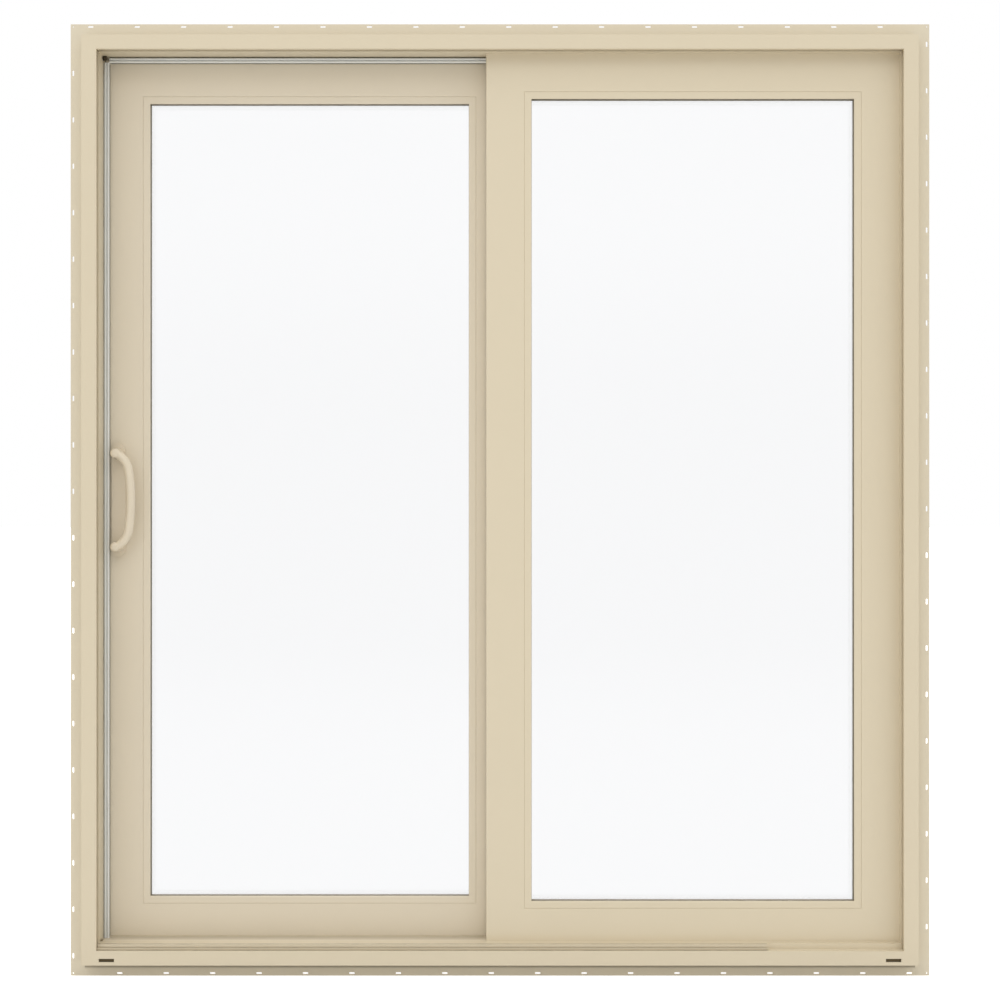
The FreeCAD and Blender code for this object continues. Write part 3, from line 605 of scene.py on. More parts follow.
def gasket_rubber(name, colour, axis, finish):
    """Dark rubber with a dull bloom."""
    return grained_material(
        name, colour, 0.62, line_scale(axis, 900.0, 900.0), 0.4, 0.0001,
        drift=0.2, dust=finish.dust, pebble=2000.0,
    )


def drawn_aluminium(name, colour, axis, finish):
    """Mill-finish aluminium with die lines along it."""
    return grained_material(
        name, colour, 0.32, line_scale(axis, 1500.0, 3.0), 0.35, 0.00006,
        drift=0.08, dust=finish.dust, spread=0.12, Metallic=1.0,
    )


def brushed_steel(name, colour, axis, finish):
    """Plated steel with short brush lines."""
    return grained_material(
        name, colour, 0.3, line_scale(axis, 2200.0, 60.0), 0.3, 0.00005,
        drift=0.1, spread=0.12, Metallic=1.0,
    )


def moulded(name, colour, axis, finish):
    """Moulded nylon or rubber with a satin skin."""
    return grained_material(
        name, colour, 0.5, line_scale(axis, 600.0, 600.0), 0.3, 0.00008, drift=0.08, pebble=1600.0
    )


FINISHES = {
    "frame_vinyl": (vinyl, "frame_vinyl"),
    "cover_vinyl": (shaded_channel_cover, "cover_vinyl"),
    "groove_vinyl": (vinyl, "groove_vinyl"),
    "track_vinyl": (track_shade_vinyl, "track_vinyl"),
    "sill_fin_vinyl": (shaded_sill_fin, "sill_fin_vinyl"),
    "fixed_vinyl": (vinyl, "fixed_vinyl"),
    "sliding_vinyl": (vinyl, "sliding_vinyl"),
    "fin_vinyl": (vinyl, "fin_vinyl"),
    "handle_enamel": (handle_enamel, "handle_enamel"),
    "window_glass": (window_glass, "glass_tint"),
    "spacer_foam": (spacer_foam, "spacer_foam"),
    "grey_seal": (grey_seal, "grey_seal"),
    "gasket_rubber": (gasket_rubber, "gasket"),
    "weep_rubber": (gasket_rubber, "weep"),
    "seal_pile": (gasket_rubber, "pile"),
    "wiper_rubber": (grey_seal, "wiper"),
    "fin_rubber": (gasket_rubber, "seal_fin"),
    "corner_foam": (spacer_foam, "corner_foam"),
    "pale_foam": (spacer_foam, "pale_foam"),
    "drawn_aluminium": (drawn_aluminium, "aluminium"),
    "brushed_steel": (brushed_steel, "steel"),
    "wheel_nylon": (moulded, "nylon"),
    "bumper_rubber": (moulded, "rubber"),
}


def finish_material(context, finish, axis="Z"):
    """The material of a finish for pieces that run along an axis, made once."""
    name = f"{finish}_along_{axis.lower()}"
    found = bpy.data.materials.get(name)
    if found:
        return found
    settings = context.scene.door_finish
    maker, colour = FINISHES[finish]
    return maker(name, tuple(getattr(settings, colour)), axis, settings)


def long_axis(low, high):
    """The axis along which a box is longest."""
    sizes = [high[i] - low[i] for i in range(3)]
    return "XYZ"[sizes.index(max(sizes))]


# Meshes


def mesh_object(name, shape, material, body):
    """An object at the origin from a bmesh, with its material, riding on its body."""
    bmesh.ops.recalc_face_normals(shape, faces=shape.faces)
    mesh = bpy.data.meshes.new(name)
    shape.to_mesh(mesh)
    shape.free()
    mesh.materials.append(material)
    piece = bpy.data.objects.new(name, mesh)
    bpy.context.scene.collection.objects.link(piece)
    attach(piece, body)
    return piece


def swept_frame(shape, left, right, bottom, top, profile):
    """A closed mitred frame round an opening: the profile's points are (inset, y)."""
    rings = []
    for inset, y in profile:
        corners = (
            (left + inset, bottom + inset), (right - inset, bottom + inset),
            (right - inset, top - inset), (left + inset, top - inset),
        )
        rings.append([shape.verts.new((x, y, z)) for x, z in corners])
    for here, there in zip(rings, rings[1:] + rings[:1]):
        for i in range(4):
            j = (i + 1) % 4
            shape.faces.new((here[i], here[j], there[j], there[i]))


def turned(shape, centre, axis, rings, segments):
    """A closed turned shape: each ring is (distance along the axis, radius)."""
    axis = Vector(axis).normalized()
    side = axis.orthogonal().normalized()
    other = axis.cross(side)
    loops = []
    for distance, radius in rings:
        middle = Vector(centre) + axis * distance
        loops.append([
            shape.verts.new(
                middle + radius * (math.cos(turn) * side + math.sin(turn) * other)
            )
            for turn in (2 * math.pi * i / segments for i in range(segments))
        ])
    for here, there in zip(loops, loops[1:]):
        for i in range(segments):
            j = (i + 1) % segments
            shape.faces.new((here[i], here[j], there[j], there[i]))
    shape.faces.new(loops[0][::-1])
    shape.faces.new(loops[-1])


def prism_between(shape, section, start, end):
    """A closed prism: the section's points are (y, z), and it runs from start to end in X."""
    first = [shape.verts.new((start, y, z)) for y, z in section]
    last = [shape.verts.new((end, y, z)) for y, z in section]
    count = len(section)
    for i in range(count):
        j = (i + 1) % count
        shape.faces.new((first[i], first[j], last[j], last[i]))
    shape.faces.new(first[::-1])
    shape.faces.new(last)


def prism_upward(shape, section, bottom, top):
    """A closed prism: the section's points are (x, y), and it runs from bottom to top in Z."""
    first = [shape.verts.new((x, y, bottom)) for x, y in section]
    last = [shape.verts.new((x, y, top)) for x, y in section]
    count = len(section)
    for i in range(count):
        j = (i + 1) % count
        shape.faces.new((first[i], first[j], last[j], last[i]))
    shape.faces.new(first[::-1])
    shape.faces.new(last)


def rounded_block(shape, low, high, radius):
    """A closed block with rounded edges between two corners."""
    made = bmesh.ops.create_cube(shape, size=1.0)["verts"]
    for vert in made:
        vert.co = Vector(
            tuple(high[i] if vert.co[i] > 0 else low[i] for i in range(3))
        )
    bmesh.ops.bevel(
        shape, geom=shape.edges[:], offset=radius, segments=3, profile=0.5, affect="EDGES"
    )


def opening_of(panel):
    """Left, right, bottom and top of a panel's glass opening, between its beads."""
    return (
        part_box(f"{panel}_left_bead")[1].x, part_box(f"{panel}_right_bead")[0].x,
        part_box(f"{panel}_bottom_bead")[1].z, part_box(f"{panel}_top_bead")[0].z,
    )


def settle(piece):
    """Turns an object and its node modifier into a plain mesh."""
    evaluated = piece.evaluated_get(bpy.context.evaluated_depsgraph_get())
    mesh = bpy.data.meshes.new_from_object(evaluated)
    piece.modifiers.clear()
    piece.data = mesh
    mesh.name = piece.name


def dress(piece, tree, values):
    """Gives an object a node modifier, with its inputs set by their identifiers."""
    modifier = piece.modifiers.new(tree.name, "NODES")
    modifier.node_group = tree
    for item in tree.interface.items_tree:
        if item.item_type == "SOCKET" and item.in_out == "INPUT" and item.name in values:
            modifier[item.identifier] = values[item.name]
    piece.update_tag()
    bpy.context.view_layer.update()


# Geometry node trees


def fastener_tree():
    """A screw head on every vertex, facing one way and turned at random about its own axis."""
    found = bpy.data.node_groups.get("Screw Heads")
    if found:
        return found
    tree, given, out = new_group("Screw Heads", "GeometryNodeTree", [
        ("INPUT", "Geometry", "NodeSocketGeometry", None),
        ("INPUT", "Head", "NodeSocketObject", None),
        ("INPUT", "Facing", "NodeSocketVector", (0.0, 0.0, 1.0)),
        ("INPUT", "Head Radius", "NodeSocketFloat", 0.003),
        ("INPUT", "Seed", "NodeSocketInt", 0),
        ("INPUT", "Metal", "NodeSocketMaterial", None),
        ("OUTPUT", "Geometry", "NodeSocketGeometry", None),
    ])
    head = add_node(tree, "GeometryNodeObjectInfo")
    aim = add_node(tree, "FunctionNodeAlignRotationToVector", axis="Z")
    turn = add_node(tree, "FunctionNodeRandomValue", {2: 0.0, 3: 2 * math.pi}, data_type="FLOAT")
    spin = add_node(tree, "FunctionNodeAxisAngleToRotation", {"Axis": (0.0, 0.0, 1.0)})
    rotation = add_node(tree, "FunctionNodeRotateRotation", rotation_space="LOCAL")
    place = add_node(tree, "GeometryNodeInstanceOnPoints")
    real = add_node(tree, "GeometryNodeRealizeInstances")
    coat = add_node(tree, "GeometryNodeSetMaterial")
    chain(
        tree,
        given.outputs["Head"], head.inputs["Object"],
        given.outputs["Facing"], aim.inputs["Vector"],
        given.outputs["Seed"], turn.inputs["Seed"],
        turn.outputs[1], spin.inputs["Angle"],
        aim.outputs["Rotation"], rotation.inputs["Rotation"],
        spin.outputs["Rotation"], rotation.inputs["Rotate By"],
        given.outputs["Geometry"], place.inputs["Points"],
        head.outputs["Geometry"], place.inputs["Instance"],
        rotation.outputs["Rotation"], place.inputs["Rotation"],
        given.outputs["Head Radius"], place.inputs["Scale"],
        place.outputs["Instances"], real.inputs["Geometry"],
        real.outputs["Geometry"], coat.inputs["Geometry"],
        given.outputs["Metal"], coat.inputs["Material"],
        coat.outputs["Geometry"], out.inputs["Geometry"],
    )
    return tree


def pile_tree():
    """Rows of leaning tufts that stand on the back of a strip, along Y from a Z-long strip."""
    tree, given, out = new_group("Pile Tufts", "GeometryNodeTree", [
        ("INPUT", "Geometry", "NodeSocketGeometry", None),
        ("INPUT", "Centre", "NodeSocketVector", (0.0, 0.0, 0.0)),
        ("INPUT", "Length", "NodeSocketFloat", 1.9),
        ("INPUT", "Width", "NodeSocketFloat", 0.006),
        ("INPUT", "Height", "NodeSocketFloat", 0.003),
        ("INPUT", "Pitch", "NodeSocketFloat", 0.002),
        ("INPUT", "Rows", "NodeSocketInt", 3),
        ("INPUT", "Tuft Radius", "NodeSocketFloat", 0.0004),
        ("INPUT", "Seed", "NodeSocketInt", 0),
        ("INPUT", "Pile", "NodeSocketMaterial", None),
        ("OUTPUT", "Geometry", "NodeSocketGeometry", None),
    ])
    count = add_node(tree, "ShaderNodeMath", operation="DIVIDE")
    bed = add_node(tree, "GeometryNodeMeshGrid")
    tuft = add_node(
        tree, "GeometryNodeMeshCone", {"Vertices": 4, "Radius Top": 0.00012}, fill_type="NGON"
    )
    lean = add_node(
        tree, "FunctionNodeRandomValue", {0: (-0.14, -0.14, 0.0), 1: (0.14, 0.14, 3.0)},
        data_type="FLOAT_VECTOR",
    )
    size = add_node(tree, "FunctionNodeRandomValue", {2: 0.82, 3: 0.97}, data_type="FLOAT")
    place = add_node(tree, "GeometryNodeInstanceOnPoints")
    real = add_node(tree, "GeometryNodeRealizeInstances")
    stand = add_node(
        tree, "GeometryNodeTransform", {"Rotation": (-math.pi / 2, 0.0, 0.0)}
    )
    together = add_node(tree, "GeometryNodeJoinGeometry")
    coat = add_node(tree, "GeometryNodeSetMaterial")
    chain(
        tree,
        given.outputs["Length"], count.inputs[0],
        given.outputs["Pitch"], count.inputs[1],
        given.outputs["Width"], bed.inputs["Size X"],
        given.outputs["Length"], bed.inputs["Size Y"],
        given.outputs["Rows"], bed.inputs["Vertices X"],
        count.outputs["Value"], bed.inputs["Vertices Y"],
        given.outputs["Tuft Radius"], tuft.inputs["Radius Bottom"],
        given.outputs["Height"], tuft.inputs["Depth"],
        given.outputs["Seed"], lean.inputs["Seed"],
        given.outputs["Seed"], size.inputs["Seed"],
        bed.outputs["Mesh"], place.inputs["Points"],
        tuft.outputs["Mesh"], place.inputs["Instance"],
        lean.outputs[0], place.inputs["Rotation"],
        size.outputs[1], place.inputs["Scale"],
        place.outputs["Instances"], real.inputs["Geometry"],
        real.outputs["Geometry"], stand.inputs["Geometry"],
        given.outputs["Centre"], stand.inputs["Translation"],
        stand.outputs["Geometry"], together.inputs["Geometry"],
        given.outputs["Geometry"], together.inputs["Geometry"],
        together.outputs["Geometry"], coat.inputs["Geometry"],
        given.outputs["Pile"], coat.inputs["Material"],
        coat.outputs["Geometry"], out.inputs["Geometry"],
    )
    return tree


def screw_head_object():
    """One pan head with a cross recess, of radius 1, that stands on the plane Z = 0."""
    arm, half = 0.5, 0.11
    outline = []
    for quarter in range(4):
        turn = quarter * math.pi / 2
        for along, aside in ((arm, -half), (arm, half), (half, half)):
            outline.append((
                along * math.cos(turn) - aside * math.sin(turn),
                along * math.sin(turn) + aside * math.cos(turn),
            ))
    shape = bmesh.new()
    floor = [shape.verts.new((0.8 * x, 0.8 * y, 0.05)) for x, y in outline]
    rim = [shape.verts.new((x, y, 0.42)) for x, y in outline]
    loops = [floor, rim]
    for radius, height in ((0.66, 0.42), (0.86, 0.3), (0.98, 0.12), (1.0, -0.1)):
        loops.append([
            shape.verts.new((
                radius * math.cos(math.atan2(y, x)), radius * math.sin(math.atan2(y, x)), height
            ))
            for x, y in outline
        ])
    count = len(outline)
    for here, there in zip(loops, loops[1:]):
        for i in range(count):
            j = (i + 1) % count
            shape.faces.new((here[i], here[j], there[j], there[i]))
    shape.faces.new(floor)
    shape.faces.new(loops[-1])
    bmesh.ops.recalc_face_normals(shape, faces=shape.faces)
    mesh = bpy.data.meshes.new("screw_head_pattern")
    shape.to_mesh(mesh)
    shape.free()
    return bpy.data.objects.new("screw_head_pattern", mesh)


# Operators


class DOOR_OT_finishes(bpy.types.Operator):
    """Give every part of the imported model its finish"""

    bl_idname = "patio_door.finishes"
    bl_label = "Finish the Packed Parts"

    def execute(self, context):
        for finish, names in FINISHED_NODES.items():
            for name in names:
                low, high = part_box(name)
                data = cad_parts[name].data
                data.materials.clear()
                data.materials.append(finish_material(context, finish, long_axis(low, high)))
        return {"FINISHED"}


class DOOR_OT_gaskets(bpy.types.Operator):
    """Lay a dark gasket along each bead and each inner lip of both panels; the outer ones reach far over
    the beads' walls as painted shade
    """

    bl_idname = "patio_door.gaskets"
    bl_label = "Glazing Gaskets"

    def execute(self, context):
        detail = context.scene.door_detail
        shade_reaches = {
            "fixed": detail.fixed_gasket_reach, "sliding": detail.sliding_gasket_reach,
        }
        material = finish_material(context, "gasket_rubber")
        for panel, body in PANELS.items():
            left, right, bottom, top = opening_of(panel)
            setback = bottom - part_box(f"{panel}_bottom_rail")[1].z
            glass_low, glass_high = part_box(f"{panel}_glass")
            for side, face, outward, reach, back in (
                ("outer", glass_low.y, -1, shade_reaches[panel], 0.0),
                ("inner", glass_high.y, 1, detail.inner_gasket_reach, setback),
            ):
                wall, lip = detail.gasket_wall, detail.gasket_lip
                section = (
                    (0.0, 0.0), (lip, 0.0), (lip, 0.0005), (lip * 0.8, 0.0012),
                    (wall, 0.0022), (wall, reach - 0.0008), (wall * 0.5, reach), (0.0, reach),
                )
                shape = bmesh.new()
                swept_frame(
                    shape, left - back, right + back, bottom - back, top + back,
                    [(u, face + outward * v) for u, v in section],
                )
                mesh_object(f"{panel}_{side}_gasket", shape, material, body)
        return {"FINISHED"}


class DOOR_OT_weeps(bpy.types.Operator):
    """Hang a dark flap in each weep slot of the sill"""

    bl_idname = "patio_door.weeps"
    bl_label = "Weep Flaps"

    def execute(self, context):
        detail = context.scene.door_detail
        low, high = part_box("sill")
        centre_z = low.z + 0.011
        face = low.y + 0.0016
        half = detail.weep_height / 2
        shape = bmesh.new()
        for side in (-1, 1):
            middle = side * 0.8535
            start, end = middle - detail.weep_length / 2, middle + detail.weep_length / 2
            plate = [
                (face, centre_z + half - 0.0011), (face + 0.0009, centre_z + half - 0.0011),
                (face + 0.0018, centre_z - half), (face + 0.0009, centre_z - half),
            ]
            prism_between(shape, plate, start, end)
            turned(
                shape, (start, face + 0.0004, centre_z + half - 0.0007), (1, 0, 0),
                ((0.0, 0.0008), (end - start, 0.0008)), 10,
            )
        material = finish_material(context, "weep_rubber", "X")
        mesh_object("weep_flaps", shape, material, "frame")
        return {"FINISHED"}


class DOOR_OT_corner_pads(bpy.types.Operator):
    """Stick foam pads into the left jamb's corners with the head and the sill"""

    bl_idname = "patio_door.corner_pads"
    bl_label = "Corner Pads"

    def execute(self, context):
        strip_low, strip_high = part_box("jamb_weatherstrip")
        corner_x, corner_z = strip_low.x + 0.0003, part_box("head_weatherstrip")[1].z - 0.0003
        upper = bmesh.new()
        rounded_block(
            upper, (corner_x, strip_low.y - 0.008, corner_z - 0.0092),
            (corner_x + 0.0094, strip_low.y - 0.0002, corner_z), 0.0022,
        )
        lower = bmesh.new()
        sill_top = strip_low.z + 0.0001
        rounded_block(
            lower, (corner_x, strip_low.y - 0.026, sill_top),
            (corner_x + 0.004, strip_low.y - 0.013, sill_top + 0.0022), 0.0007,
        )
        mesh_object(
            "corner_pad", upper, finish_material(context, "corner_foam"), "frame"
        )
        mesh_object(
            "sill_corner_pad", lower, finish_material(context, "pale_foam"), "frame"
        )
        return {"FINISHED"}


class DOOR_OT_seal_fins(bpy.types.Operator):
    """Set a dark fin along the back of both grey strips, and a dark sheet in the gap above the upper one
    as painted shade
    """

    bl_idname = "patio_door.seal_fins"
    bl_label = "Seal Fins"

    def execute(self, context):
        detail = context.scene.door_detail
        upright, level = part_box("jamb_weatherstrip"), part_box("head_weatherstrip")
        leg = detail.strip_leg
        back = upright[1].y - 0.0002
        front = back - 0.0012
        start = upright[0].x + leg + 0.0001
        end = start + detail.fin_reach
        standing = bmesh.new()
        prism_upward(
            standing, [(start, front), (end, front + 0.0005), (end, back - 0.0003), (start, back)],
            upright[0].z + 0.0005, upright[1].z - 0.0005,
        )
        mesh_object(
            "jamb_seal_fin", standing, finish_material(context, "fin_rubber"), "frame"
        )
        start = level[1].z - leg - 0.0001
        end = start - detail.fin_reach
        lying = bmesh.new()
        prism_between(
            lying, [(front, start), (front + 0.0005, end), (back - 0.0003, end), (back, start)],
            level[0].x + 0.0005, level[1].x - 0.0005,
        )
        # Painted shade: a dark sheet in the gap between the head and its grey strip, where there is only
        # shade.
        shadow_y = level[0].y + 0.0052
        prism_between(
            lying,
            [(shadow_y, level[1].z - 0.0002), (shadow_y, level[1].z - 0.0028),
             (shadow_y + 0.0006, level[1].z - 0.0028), (shadow_y + 0.0006, level[1].z - 0.0002)],
            level[0].x + 0.0005, level[1].x - 0.0005,
        )
        mesh_object(
            "head_seal_fin", lying, finish_material(context, "fin_rubber", "X"), "frame",
        )
        return {"FINISHED"}


class DOOR_OT_sill_wiper(bpy.types.Operator):
    """Lay the soft strip that closes the gap between the sill's cover and the sliding panel, coloured
    darker as painted shadow under the panel
    """

    bl_idname = "patio_door.sill_wiper"
    bl_label = "Sill Wiper"

    def execute(self, context):
        low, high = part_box("sill_cover")
        panel_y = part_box("sliding_bottom_rail")[0].y
        top = high.z + 0.0009
        section = [
            (high.y - 0.0032, high.z + 0.0001), (high.y - 0.0028, top - 0.0002),
            (high.y - 0.002, top), (panel_y - 0.0016, top), (panel_y - 0.0006, top - 0.0006),
            (panel_y - 0.0004, high.z - 0.004), (high.y + 0.0004, high.z - 0.004),
            (high.y + 0.0004, high.z + 0.0001),
        ]
        shape = bmesh.new()
        prism_between(shape, section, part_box("jamb_weatherstrip")[1].x + 0.0006, high.x - 0.0005)
        material = finish_material(context, "wiper_rubber", "X")
        mesh_object("sill_wiper", shape, material, "frame")
        return {"FINISHED"}


class DOOR_OT_groove_shade_liners(bpy.types.Operator):
    """Line the screen groove of head and jambs with darker vinyl, as painted shade in the groove"""

    bl_idname = "patio_door.groove_liners"
    bl_label = "Groove Liners"

    def execute(self, context):
        detail = context.scene.door_detail
        left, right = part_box("fixed_right_stile")[1].x * -1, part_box("fixed_right_stile")[1].x
        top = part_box("head_weatherstrip")[1].z
        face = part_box("sill")[0].y
        # The liners are painted shade: darker sheets along the groove's walls.
        front, back = face + 0.0098, face + 0.0232
        bed = detail.groove_depth
        wall = detail.liner_wall
        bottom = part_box("screen_track")[0].z + 0.0003
        uprights = bmesh.new()
        for edge, side in ((left, -1), (right, 1)):
            lips = [
                (edge + side * 0.0002, back - wall), (edge + side * 0.0002, back),
                (edge + side * bed, back), (edge + side * bed, front),
                (edge + side * (bed - wall), front), (edge + side * (bed - wall), back - wall),
            ]
            prism_upward(uprights, lips, bottom, top)
        mesh_object(
            "jamb_groove_liners", uprights, finish_material(context, "groove_vinyl"), "frame"
        )
        level = bmesh.new()
        lips = [
            (back - wall, top + 0.0002), (back, top + 0.0002), (back, top + bed),
            (front, top + bed), (front, top + bed - wall), (back - wall, top + bed - wall),
        ]
        prism_between(level, lips, left + 0.0005, right - 0.0005)
        mesh_object(
            "head_groove_liner", level, finish_material(context, "groove_vinyl", "X"), "frame"
        )
        return {"FINISHED"}


class DOOR_OT_plugs(bpy.types.Operator):
    """Cap the holes through which the rollers are set, on the sliding panel's inner face"""

    bl_idname = "patio_door.plugs"
    bl_label = "Roller Adjuster Caps"

    def execute(self, context):
        radius = context.scene.door_detail.plug_radius
        low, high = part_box("sliding_bottom_rail")
        shape = bmesh.new()
        for x in (low.x + 0.03, high.x - 0.03):
            turned(
                shape, (x, high.y - 0.0004, low.z + 0.052), (0, 1, 0),
                ((0.0, radius), (0.0008, radius), (0.0012, radius * 0.93), (0.0015, radius * 0.72),
                 (0.0014, radius * 0.34), (0.0009, radius * 0.26)),
                28,
            )
        material = finish_material(context, "sliding_vinyl", "X")
        mesh_object("roller_adjuster_caps", shape, material, "sliding_panel")
        return {"FINISHED"}


class DOOR_OT_screws(bpy.types.Operator):
    """Set the screws of lock, handle, track and jamb"""

    bl_idname = "patio_door.screws"
    bl_label = "Screws"

    def execute(self, context):
        keeper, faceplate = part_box("lock_keeper"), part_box("lock_faceplate")
        plate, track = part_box("inner_handle_plate"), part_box("roller_track")
        plate_x = (plate[0].x + plate[1].x) / 2
        middle = (plate[0].z + plate[1].z) / 2
        keeper_y = (keeper[0].y + keeper[1].y) / 2
        rows = {
            "keeper_screws": ("frame", (1, 0, 0), [
                (keeper[1].x, keeper_y, keeper[0].z + 0.012),
                (keeper[1].x, keeper_y, keeper[1].z - 0.012),
            ]),
            "faceplate_screws": ("sliding_panel", (-1, 0, 0), [
                (faceplate[0].x + 0.0005, (faceplate[0].y + faceplate[1].y) / 2, z)
                for z in (faceplate[0].z + 0.011, faceplate[1].z - 0.011)
            ]),
            "handle_screws": ("sliding_panel", (0, 1, 0), [
                (plate_x, plate[0].y + 0.004, middle - 0.06),
                (plate_x, plate[0].y + 0.004, middle + 0.06),
            ]),
            "track_screws": ("frame", (0, 0, 1), [
                (x, track[0].y + 0.0055, track[0].z + 0.0012) for x in (-0.81, 0.735, 0.845)
            ]),
        }
        detail = context.scene.door_detail
        pattern = screw_head_object()
        metal = finish_material(context, "brushed_steel")
        for name, (body, facing, places) in rows.items():
            mesh = bpy.data.meshes.new(name)
            mesh.from_pydata(places, [], [])
            piece = bpy.data.objects.new(name, mesh)
            context.scene.collection.objects.link(piece)
            dress(piece, fastener_tree(), {
                "Head": pattern, "Facing": facing, "Head Radius": detail.screw_radius,
                "Seed": detail.seed, "Metal": metal,
            })
            settle(piece)
            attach(piece, body)
        bpy.data.objects.remove(pattern)
        return {"FINISHED"}


class DOOR_OT_pile(bpy.types.Operator):
    """Stand tufts of pile on the strip between the two centre stiles"""

    bl_idname = "patio_door.pile"
    bl_label = "Meeting Pile"

    def execute(self, context):
        detail = context.scene.door_detail
        low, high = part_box("meeting_weatherstrip")
        base = low.y + 0.0011
        section = [
            (low.x, low.y), (high.x, low.y), (high.x, base - 0.0004), (high.x - 0.0004, base),
            (low.x + 0.0004, base), (low.x, base - 0.0004),
        ]
        shape = bmesh.new()
        ends = [
            [shape.verts.new((x, y, z)) for x, y in section]
            for z in (low.z + 0.0005, high.z - 0.0005)
        ]
        for i in range(len(section)):
            j = (i + 1) % len(section)
            shape.faces.new((ends[0][i], ends[0][j], ends[1][j], ends[1][i]))
        shape.faces.new(ends[0])
        shape.faces.new(ends[1])
        material = finish_material(context, "seal_pile")
        bmesh.ops.recalc_face_normals(shape, faces=shape.faces)
        mesh = bpy.data.meshes.new("meeting_pile")
        shape.to_mesh(mesh)
        shape.free()
        piece = bpy.data.objects.new("meeting_pile", mesh)
        context.scene.collection.objects.link(piece)
        width = high.x - low.x
        dress(piece, pile_tree(), {
            "Centre": ((low.x + high.x) / 2, base - 0.0003, (low.z + high.z) / 2),
            "Length": high.z - low.z - 0.006, "Width": width - 0.003,
            "Height": high.y - base, "Pitch": detail.tuft_pitch, "Rows": detail.tuft_rows,
            "Tuft Radius": detail.tuft_radius, "Seed": detail.seed, "Pile": material,
        })
        settle(piece)
        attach(piece, "frame")
        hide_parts("meeting_weatherstrip")
        return {"FINISHED"}


class DOOR_OT_stage(bpy.types.Operator):
    """Set up the camera, the soft light and the white floor"""

    bl_idname = "patio_door.stage"
    bl_label = "Studio"

    def execute(self, context):
        scene, settings = context.scene, context.scene.door_stage
        low, high = Vector(CAD_BOX[0]), Vector(CAD_BOX[1])
        middle_z = (low.z + high.z) / 2
        face_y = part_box("sill")[0].y

        lens = bpy.data.cameras.new("camera")
        lens.sensor_width = 36.0
        lens.lens = lens.sensor_width * settings.camera_distance / settings.view_width
        lens.clip_end = 200.0
        camera = bpy.data.objects.new("camera", lens)
        camera.location = (0.0, face_y - settings.camera_distance, middle_z)
        camera.rotation_euler = (math.pi / 2, 0.0, 0.0)
        scene.collection.objects.link(camera)
        scene.camera = camera

        for name, place, power in (
            ("key_lamp", (-2.0, -13.2, 9.6), settings.key_power),
            ("back_lamp", (1.8, 12.6, 10.4), settings.back_power),
        ):
            lamp = bpy.data.lights.new(name, "AREA")
            lamp.shape = "RECTANGLE"
            lamp.size, lamp.size_y = 8.0, 5.0
            lamp.energy = power
            light = bpy.data.objects.new(name, lamp)
            light.location = place
            aim = Vector((0.0, 0.0, middle_z)) - light.location
            light.rotation_euler = aim.to_track_quat("-Z", "Y").to_euler()
            scene.collection.objects.link(light)

        shape = bmesh.new()
        bmesh.ops.create_grid(shape, x_segments=1, y_segments=1, size=60.0)
        bmesh.ops.translate(shape, verts=shape.verts, vec=(0, 0, low.z - settings.floor_gap))
        mesh = bpy.data.meshes.new("floor")
        shape.to_mesh(mesh)
        shape.free()
        mesh.materials.append(floor_material())
        floor = bpy.data.objects.new("floor", mesh)
        scene.collection.objects.link(floor)

        scene.world = studio_world(settings)
        scene.view_settings.view_transform = "Standard"
        return {"FINISHED"}


